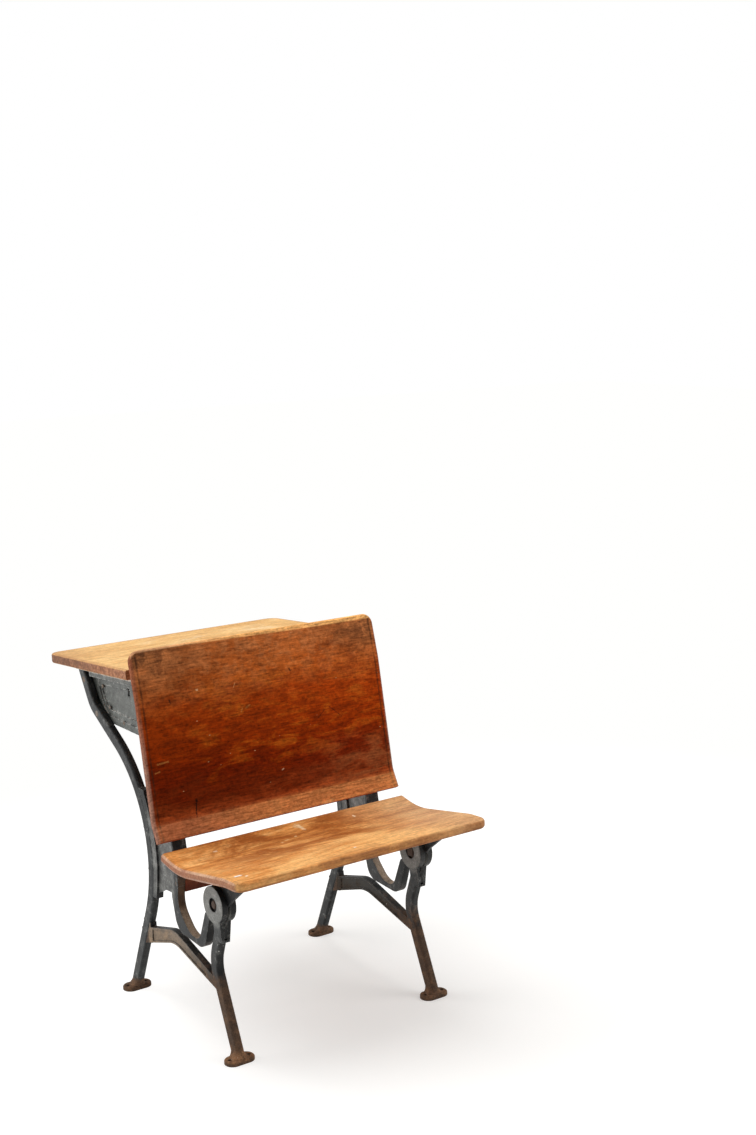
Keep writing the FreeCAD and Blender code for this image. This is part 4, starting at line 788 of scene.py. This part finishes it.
@dataclass(frozen=True)
class SeatTimber(Timber):
    """The seat: honey coloured and rubbed bare in places, browner at its edges."""

    front: float = -0.3873
    half: float = 0.287
    red: Colour = (0.36, 0.1, 0.018)
    red_place: Span = Span(-0.27, -0.12, 0.06, 0.2)
    # Paler, pinker colour of the right end: its own tint, partly painted light falling from the
    # right.
    dull: Colour = (0.64, 0.39, 0.21)
    # Painted shadow line on the top, just behind the rounded front edge.
    brow_shadow: Colour = (0.4, 0.15, 0.05)
    brow_shadow_inset: float = 0.0135
    nose: Colour = (0.36, 0.145, 0.05)
    # Painted shade for the downward faces.
    nose_shade: Colour = (0.1, 0.045, 0.022)
    rim: Colour = (0.3, 0.11, 0.045)
    rim_inset: float = 0.0075
    upper_arris: Colour = (0.86, 0.56, 0.36)
    upper_turn: Span = Span(0.15, 0.35, 0.8, 0.97)
    lower_arris_highlight: Colour = (0.66, 0.54, 0.47)
    lower_turn: Span = Span(-0.97, -0.8, -0.45, -0.15)
    chip: Colour = (0.84, 0.68, 0.5)
    marks: Tuple[Mark, ...] = (
        Mark(0.0125, -0.1265, 0.028, 0.009, 96.0, (0.86, 0.62, 0.36), 0.8),
        Mark(0.004, -0.122, 0.014, 0.007, 80.0, (0.8, 0.5, 0.24), 0.7),
        Mark(-0.2606, -0.3431, 0.015, 0.008, -12.0, (0.92, 0.88, 0.8), 0.95),
        Mark(-0.247, -0.353, 0.008, 0.005, 20.0, (0.88, 0.74, 0.55), 0.8),
        Mark(-0.01, -0.3518, 0.007, 0.006, 0.0, (0.9, 0.8, 0.66), 0.8),
        Mark(0.137, -0.134, 0.007, 0.009, 30.0, (0.86, 0.68, 0.46), 0.8),
        Mark(-0.0455, -0.1683, 0.012, 0.005, 15.0, (0.84, 0.56, 0.26), 0.7),
        Mark(-0.02, -0.16, 0.006, 0.006, 0.0, (0.84, 0.6, 0.3), 0.7),
        Mark(-0.06, -0.175, 0.006, 0.006, 0.0, (0.84, 0.6, 0.3), 0.7),
        Mark(-0.19, -0.14, 0.008, 0.006, 0.0, (0.86, 0.7, 0.5), 0.6))

    def worn_and_highlit_edges(self, graph: Graph, colour: Term, wood: Wood, side: Term) -> Term:
        """Adds the browner ends, with their pale arrises; the lower one is a painted highlight.

        Args:
            graph: the material's graph.
            colour: the colour so far.
            wood: the board's patterns.
            side: X.

        Returns:
            The new colour.
        """
        away = side.size()
        upward = graph.facing("Z")
        colour = graph.mix(away.rise(self.half - 0.005, self.half - 0.001) * 0.85, colour, self.end)
        rim = (away - (self.half - self.rim_inset)).size().rise(0.0035, 0.001)
        rim = rim * upward.rise(0.2, 0.6) * wood.patch.rise(0.42, 0.62)
        colour = graph.mix(rim * 0.35, colour, self.rim)
        arris = away.rise(self.half - 0.0045, self.half - 0.002)
        above = arris * self.upper_turn.mask(upward) * wood.cloud.rise(0.3, 0.6)
        colour = graph.mix(above * 0.5, colour, self.upper_arris)
        # Painted highlight: a pale line along the lower arris of each end.
        below = arris * self.lower_turn.mask(upward) * wood.cloud.rise(0.35, 0.6)
        return graph.mix(below * 0.6, colour, self.lower_arris_highlight)

    def material(self) -> Material:
        """The finish as a material."""
        made, graph = new_material(self.name)
        wood = self.grain(graph)
        side = graph.at("X")
        depth = graph.at("Y")
        upward = graph.facing("Z")
        colour = self.board_colour(graph, wood, (depth.rise(-0.1, -0.36) - 0.45) * 0.09)
        clouded = graph.stretch((7.0, 11.0, 11.0), (1.4, 0.3, 0.0))
        stain = graph.noise(1.0, 6.0, 0.65, 0.6, clouded)
        middle = self.red_place.mask(side) * depth.rise(-0.33, -0.2)
        colour = graph.mix(stain.rise(0.44, 0.58) * (0.28 + middle * 0.72), colour, self.red)
        # Paler towards the right end: its own tint, partly painted light falling from the right.
        dull = side.rise(0.06, 0.27) * (0.35 + wood.patch * 0.4)
        colour = graph.mix(dull, colour, self.dull)
        # Painted shadow: a dark line on the top just behind the rounded front edge.
        brow_shadow = (depth - (self.front + self.brow_shadow_inset)).size().rise(0.005, 0.001)
        brow_shadow = brow_shadow * upward.rise(0.2, 0.6) * wood.patch.rise(0.46, 0.62)
        colour = graph.mix(brow_shadow * 0.3, colour, self.brow_shadow)
        mottled = 0.35 + stain.rise(0.44, 0.6) * 0.45 + wood.streak.rise(0.5, 0.7) * 0.3
        nose = graph.facing("Y").rise(-0.35, -0.85) * mottled
        colour = graph.mix(nose.held(), colour, self.nose)
        # Painted shade on the downward faces.
        lower = upward.rise(-0.05, -0.45) * wood.patch.rise(0.36, 0.54)
        colour = graph.mix(lower * 0.6, colour, self.nose_shade)
        colour = self.worn_and_highlit_edges(graph, colour, wood, side)
        top = upward.rise(0.1, 0.5)
        chips = graph.cells(graph.stretch((1.0, 1.6, 1.0)), 34.0).rise(0.07, 0.03)
        chips = chips * graph.noise(9.0, 2.0).rise(0.54, 0.6) * top
        colour = graph.mix(chips * 0.7, colour, self.chip)
        marked = colour
        for mark in self.marks:
            marked = mark.paint(graph, marked, side, depth, wood.fleck)
        colour = graph.mix(top, colour, marked)
        # Painted shade: the downward faces darkened further.
        colour = graph.mix(upward.rise(-0.2, -0.8) * 0.5, colour, self.dark)
        self.finish(graph, colour, wood)
        return made


@dataclass(frozen=True)
class LidTimber(Timber):
    """The desk top: pale honey, with brown edges."""

    half: float = 0.281
    front: float = 0.0238
    rear: float = 0.3871
    pale: Colour = (0.84, 0.64, 0.4)
    corner: Colour = (0.56, 0.31, 0.125)
    rim: Colour = (0.48, 0.24, 0.1)
    edge: Colour = (0.35, 0.145, 0.068)

    def material(self) -> Material:
        """The finish as a material."""
        made, graph = new_material(self.name)
        wood = self.grain(graph)
        side = graph.at("X")
        depth = graph.at("Y")
        upward = graph.facing("Z")
        colour = self.board_colour(graph, wood)
        pale = wood.cloud.rise(0.52, 0.66) * side.rise(-0.2, 0.0)
        colour = graph.mix(pale * 0.6, colour, self.pale)
        corner = side.rise(-0.15, -0.27) * depth.rise(0.16, 0.34)
        colour = graph.mix(corner * 0.75, colour, self.corner)
        rim = side.size().rise(self.half - 0.012, self.half - 0.004)
        rim = rim.most(depth.rise(self.rear - 0.014, self.rear - 0.005))
        rim = rim.most(depth.rise(self.front + 0.012, self.front + 0.004))
        colour = graph.mix(rim * (0.2 + wood.patch * 0.9).held(), colour, self.rim)
        brown = graph.mix(wood.streak.rise(0.42, 0.66) * 0.8, self.end, self.edge)
        brown = graph.scaled(brown, depth.rise(0.35, 0.08) * 0.6 + 0.7)
        colour = graph.mix(upward.rise(0.75, 0.25) * 0.92, colour, brown)
        # Painted shade: the downward faces darkened.
        colour = graph.mix(upward.rise(-0.2, -0.8) * 0.6, colour, self.dark)
        self.finish(graph, colour, wood)
        return made


@dataclass(frozen=True)
class OldMetal:
    """Bare metal that has gone dull, for screws, bolts and hinges."""

    name: str
    bright: Colour
    stain: Colour
    share: float = 0.5
    roughness: float = 0.42
    relief: float = 0.0002
    corner_radius: float = 0.0005

    def material(self) -> Material:
        """The finish as a material."""
        made, graph = new_material(self.name)
        blotches = graph.noise(190.0, 4.0, 0.6)
        spots = graph.noise(60.0, 3.0, 0.55)
        stained = (blotches * 0.6 + spots * 0.6 + (self.share - 0.85)).rise(-0.1, 0.2)
        colour = graph.mix(stained, self.bright, self.stain)
        normal = graph.bump(blotches, self.relief, 0.6, graph.round_edges(self.corner_radius))
        roughness = self.roughness + stained * 0.3
        metallic = 0.95 - stained * 0.75
        graph.surface(colour, roughness.held(), normal, metallic=metallic.held())
        return made


# Modelling tools


def only(*objects: Object) -> None:
    """Selects these objects and nothing else.

    Args:
        objects: what is selected; the first becomes active.
    """
    bpy.ops.object.select_all(action="DESELECT")
    for item in objects:
        item.select_set(True)
    if objects:
        bpy.context.view_layer.objects.active = objects[0]


def settle(item: Object) -> None:
    """Puts an object's place, turn and scale into its mesh."""
    only(item)
    bpy.ops.object.transform_apply(location=True, rotation=True, scale=True)


def paint(item: Object, material: Material) -> None:
    """Gives an object one material in place of all others."""
    item.data.materials.clear()
    item.data.materials.append(material)


# Sub-assemblies


class Side(Enum):
    """The two sides of the desk."""

    LEFT = "left"
    RIGHT = "right"

    @classmethod
    def both(cls, stem: str) -> List[str]:
        """The names of a left and a right node."""
        return [f"{stem}_{side.value}" for side in cls]


@dataclass
class SubAssembly:
    """Nodes of the frame that are dressed together."""

    nodes: Dict[str, Object]
    smooth_below: float = math.radians(32)

    def dress(self, names: Iterable[str], material: Material) -> None:
        """Gives nodes of the frame a material and smooth faces.

        Args:
            names: the nodes.
            material: their material.
        """
        for name in names:
            paint(self.nodes[name], material)
            only(self.nodes[name])
            bpy.ops.object.shade_smooth_by_angle(angle=self.smooth_below)


@dataclass
class Castings(SubAssembly):
    """The four iron castings that carry the desk."""

    across: float = 0.23
    front_foot: float = -0.2717
    front_lean: float = 0.4524
    rear_foot: float = 0.1404
    rear_lean: float = -0.4323
    collar_corner: float = 0.0135
    corner_segments: int = 8
    collar_smooth_below: float = math.radians(50)
    # Half width, half depth and height of each ring, from the foot upwards.
    collar_rings: Tuple[Triple, ...] = (
        (0.017, 0.0166, 0.0074), (0.0164, 0.0164, 0.0088), (0.0146, 0.016, 0.0106),
        (0.0124, 0.0156, 0.013), (0.0106, 0.0152, 0.0162), (0.0094, 0.0148, 0.0208),
        (0.0084, 0.0143, 0.027))

    def collar(self, place: Pair, lean: float) -> Object:
        """The collar that flares from a leg into its foot.

        Args:
            place: X and Y of the foot's middle.
            lean: how far the leg moves along Y for each unit of height.

        Returns:
            The new piece.
        """
        only()
        half_x, half_y, level = self.collar_rings[0]
        bpy.ops.mesh.primitive_plane_add(size=2.0 * half_x, location=(*place, level))
        made = bpy.context.active_object
        settle(made)
        bpy.ops.object.mode_set(mode="EDIT")
        bpy.ops.mesh.bevel(offset=self.collar_corner, segments=self.corner_segments,
                           affect="VERTICES")
        bpy.ops.mesh.select_all(action="SELECT")
        middle = (*place, level)
        bpy.ops.transform.resize(value=(1.0, half_y / half_x, 1.0), center_override=middle)
        for next_x, next_y, next_level in self.collar_rings[1:]:
            step = next_level - level
            move = {"value": (0.0, lean * step, step)}
            bpy.ops.mesh.extrude_region_move(TRANSFORM_OT_translate=move)
            middle = (place[0], middle[1] + lean * step, next_level)
            change = (next_x / half_x, next_y / half_y, 1.0)
            bpy.ops.transform.resize(value=change, center_override=middle)
            half_x, half_y, level = next_x, next_y, next_level
        bpy.ops.mesh.select_all(action="SELECT")
        bpy.ops.mesh.normals_make_consistent(inside=False)
        # Extruding orders the faces anew in each run, so their order is fixed here.
        bpy.ops.mesh.sort_elements(type="CURSOR_DISTANCE", elements={"EDGE", "FACE"})
        bpy.ops.object.mode_set(mode="OBJECT")
        bpy.ops.object.shade_smooth_by_angle(angle=self.collar_smooth_below)
        return made

    def pair(self, name: str, depth: float, lean: float, material: Material) -> None:
        """A collar on the left leg and its copy on the right one.

        Args:
            name: what both names start with.
            depth: Y of the foot's middle.
            lean: how far the leg moves along Y for each unit of height.
            material: the casting's material.
        """
        left = self.collar((-self.across, depth), lean)
        only(left)
        bpy.ops.object.duplicate()
        right = bpy.context.active_object
        bpy.ops.object.mode_set(mode="EDIT")
        bpy.ops.mesh.select_all(action="SELECT")
        bpy.ops.transform.translate(value=(2.0 * self.across, 0.0, 0.0))
        bpy.ops.object.mode_set(mode="OBJECT")
        for piece, full_name in zip((left, right), Side.both(name)):
            piece.name = full_name
            paint(piece, material)
            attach(piece, "stand")

    def build(self) -> None:
        """Dresses the castings and adds the collars of their feet."""
        front = StandardIron("painted_iron_front", faded=(0.04, 0.041, 0.04)).material()
        rear = CastIron("painted_iron_rear", faded=(0.038, 0.041, 0.041), rust_height=0.04,
                        wear=0.5).material()
        self.dress(Side.both("seat_standard"), front)
        self.dress(Side.both("rear_leg"), rear)
        self.pair("foot_collar_front", self.front_foot, self.front_lean, front)
        self.pair("foot_collar_rear", self.rear_foot, self.rear_lean, rear)


@dataclass
class FoldingSeat(SubAssembly):
    """The seat board on its two arms."""

    def build(self) -> None:
        """Dresses the board and the arms."""
        timber = SeatTimber("seat_timber", light=(0.88, 0.475, 0.17),
                            middle=(0.7, 0.285, 0.074), dark=(0.42, 0.125, 0.024),
                            end=(0.31, 0.135, 0.085), figure=0.18, sheen=0.1, plainness=0.52)
        self.dress(["seat_board"], timber.material())
        # The arms' faded paint is darker than on the other castings, as painted shade under the
        # seat.
        arms = CastIron("painted_iron_arms_in_shade", faded=(0.024, 0.022, 0.02), rust_amount=-0.3,
                        rust_height=0.05, wear=0.3)
        self.dress(Side.both("seat_arm"), arms.material())


@dataclass
class Backrest(SubAssembly):
    """The backrest and the slat below it."""

    def build(self) -> None:
        """Dresses both boards."""
        back = BackTimber("back_timber", end=(0.38, 0.2, 0.14), shift=(0.7, 2.3, 0.4),
                          sheen=0.02, contrast=1.7)
        self.dress(["backrest"], back.material())
        slat = Timber("slat_timber", light=(0.17, 0.044, 0.018), middle=(0.11, 0.022, 0.008),
                      dark=(0.04, 0.008, 0.003), shift=(4.0, 1.0, 2.0), sheen=0.12)
        self.dress(["lower_slat"], slat.material())


@dataclass
class BookBox(SubAssembly):
    """The box for books, between its two iron ends."""

    def build(self) -> None:
        """Dresses the ends and the boards."""
        # Strong painted shade at creases, and wide rubbed edges that also paint pale highlight
        # lines on the mouldings.
        ends = BoxIron("painted_iron_box", worn=(0.55, 0.55, 0.52), rust_amount=-0.2,
                       rust_height=0.02, wear=1.2, crevice_shade=0.9, rub_radius=0.0034)
        self.dress(Side.both("box_end"), ends.material())
        boards = Timber("box_timber", light=(0.5, 0.33, 0.18), middle=(0.38, 0.23, 0.12),
                        dark=(0.2, 0.11, 0.055), shift=(1.0, 5.0, 3.0), gloss=0.6)
        self.dress(["box_floor", "box_front", "box_rear"], boards.material())


@dataclass
class LiftLid(SubAssembly):
    """The desk top, which is the lid, and its two hinges."""

    def build(self) -> None:
        """Dresses the lid and the hinges."""
        timber = LidTimber("lid_timber", light=(0.81, 0.52, 0.22), middle=(0.72, 0.42, 0.155),
                           dark=(0.56, 0.27, 0.08), end=(0.17, 0.055, 0.02),
                           shift=(2.0, 0.6, 0.0), figure=0.35, sheen=0.12)
        self.dress(["lid_board"], timber.material())
        brass = OldMetal("dull_brass", bright=(0.58, 0.42, 0.17), stain=(0.2, 0.13, 0.06),
                         share=0.4)
        names = Side.both("lid_hinge_leaf") + Side.both("box_hinge_leaf")
        names += ["lid_hinge_pins", "lid_hinge_screws", "box_hinge_screws"]
        self.dress(names, brass.material())


@dataclass
class Fasteners(SubAssembly):
    """Bolts, nuts and screws of steel."""

    def build(self) -> None:
        """Dresses them; those that hold the seat are rusty."""
        rusty = OldMetal("rusty_steel", bright=(0.2, 0.18, 0.16), stain=(0.06, 0.032, 0.018),
                         share=0.72)
        dull = OldMetal("dull_steel", bright=(0.36, 0.35, 0.34), stain=(0.14, 0.1, 0.07),
                        share=0.45)
        self.dress(["hinge_bolts", "hinge_nuts"], rusty.material())
        self.dress(["leg_bolts", "box_bolts", "box_nuts", "box_screws", "back_screws",
                    "slat_screws", "seat_screws"], dull.material())


# Studio


@dataclass(frozen=True)
class Lamp:
    """A square soft lamp that faces a point, with its side in metres and its power in watts."""

    name: str
    place: Triple
    target: Triple
    size: float
    power: float

    def hang(self) -> None:
        """Adds the lamp to the scene."""
        data = bpy.data.lights.new(self.name, "AREA")
        data.shape = "SQUARE"
        data.size = self.size
        data.energy = self.power
        item = bpy.data.objects.new(self.name, data)
        bpy.context.scene.collection.objects.link(item)
        item.location = self.place
        ray = Vector(self.target) - Vector(self.place)
        item.rotation_euler = ray.to_track_quat("-Z", "Y").to_euler()


@dataclass
class Studio:
    """Floor, daylight-like lamps, background and camera."""

    floor_reach: float = 14.0
    floor_dull: Colour = (0.92, 0.905, 0.88)
    floor_pale: Colour = (0.96, 0.945, 0.925)
    glow: Colour = (1.0, 1.0, 0.99)
    glow_gain: float = 0.3
    glow_gain_range: Pair = (1.9, 0.7)
    shadow_middle: Triple = (0.34, -0.3, 0.0)
    shadow_range: Pair = (0.25, 1.1)
    least_glow: float = 0.28
    daylight: float = 0.42
    lamps: Tuple[Lamp, ...] = (
        Lamp("lamp_above", (-0.1, 0.4, 3.1), (0.0, 0.0, 0.4), 2.4, 53.0),
        Lamp("lamp_left", (-2.3, 2.2, 1.1), (0.0, 0.0, 0.4), 2.6, 60.0),
        Lamp("lamp_right", (2.6, -1.8, 2.0), (0.0, 0.0, 0.5), 1.8, 32.0))
    lens: float = 51.596
    sensor_width: float = 36.0
    camera_place: Triple = (-1.6558, -2.7581, 1.4424)
    camera_right: Triple = (0.8128, -0.5822, -0.0191)
    camera_up: Triple = (0.117, 0.1309, 0.9845)
    camera_back: Triple = (-0.5706, -0.8024, 0.1745)

    def build(self) -> None:
        """Makes the floor, the world, the lamps and the camera."""
        self.make_floor()
        self.make_world()
        for lamp in self.lamps:
            lamp.hang()
        self.make_camera()

    def make_floor(self) -> None:
        """A pale floor that the lamps shade only near the desk."""
        only()
        bpy.ops.mesh.primitive_plane_add(size=2 * self.floor_reach, location=(0.0, 0.0, 0.0))
        floor = bpy.context.active_object
        floor.name = "studio_floor"
        settle(floor)
        made, graph = new_material("pale_floor")
        cloud = graph.noise(2.5, 3.0, 0.5)
        colour = graph.mix(cloud, self.floor_dull, self.floor_pale)
        lit = graph.add("BsdfDiffuse", None, {"Color": colour})
        distance = graph.reach(self.shadow_middle, (1.0, 1.0, 0.0))
        strength = distance.rise(*self.glow_gain_range) * self.glow_gain + 1.0
        glow = graph.add("Emission", None, {"Color": self.glow, "Strength": strength})
        seen = graph.add("LightPath", output="Is Camera Ray")
        mirrored = graph.add("LightPath", output="Is Glossy Ray")
        share = self.least_glow + distance.rise(*self.shadow_range) * (1.0 - self.least_glow)
        far = (seen + mirrored).held() * share
        both = graph.add("MixShader", None, {0: far, 1: lit, 2: glow})
        graph.add("OutputMaterial", None, {"Surface": both})
        floor.data.materials.append(made)

    def make_world(self) -> None:
        """A white background that gives an even, softer light."""
        world = bpy.data.worlds.new("studio_world")
        world.use_nodes = True
        graph = Graph(world.node_tree)
        seen = graph.add("LightPath", output="Is Camera Ray")
        values: Inputs = {"Color": (1.0, 1.0, 1.0),
                          "Strength": self.daylight + seen * (1.0 - self.daylight)}
        ground = graph.add("Background", None, values)
        graph.add("OutputWorld", None, {"Surface": ground})
        bpy.context.scene.world = world

    def make_camera(self) -> None:
        """The camera, to the left of the seat and above it."""
        data = bpy.data.cameras.new("camera")
        data.sensor_width = self.sensor_width
        data.lens = self.lens
        item = bpy.data.objects.new("camera", data)
        bpy.context.scene.collection.objects.link(item)
        axes = (Vector(self.camera_right), Vector(self.camera_up), Vector(self.camera_back))
        turn = Matrix(axes).transposed().to_4x4()
        item.matrix_world = Matrix.Translation(self.camera_place) @ turn
        bpy.context.scene.camera = item


def main() -> None:
    """Builds the desk, one sub-assembly after the other."""
    logging.basicConfig(level=logging.INFO, format="%(name)s: %(message)s")
    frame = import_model()
    nodes = frame["nodes"]
    bpy.context.scene.view_settings.view_transform = "Standard"
    for part in (Castings(nodes), FoldingSeat(nodes), Backrest(nodes), BookBox(nodes),
                 LiftLid(nodes), Fasteners(nodes), Studio()):
        part.build()
        LOG.info("built %s", type(part).__name__)


if __name__ == "__main__":
    main()
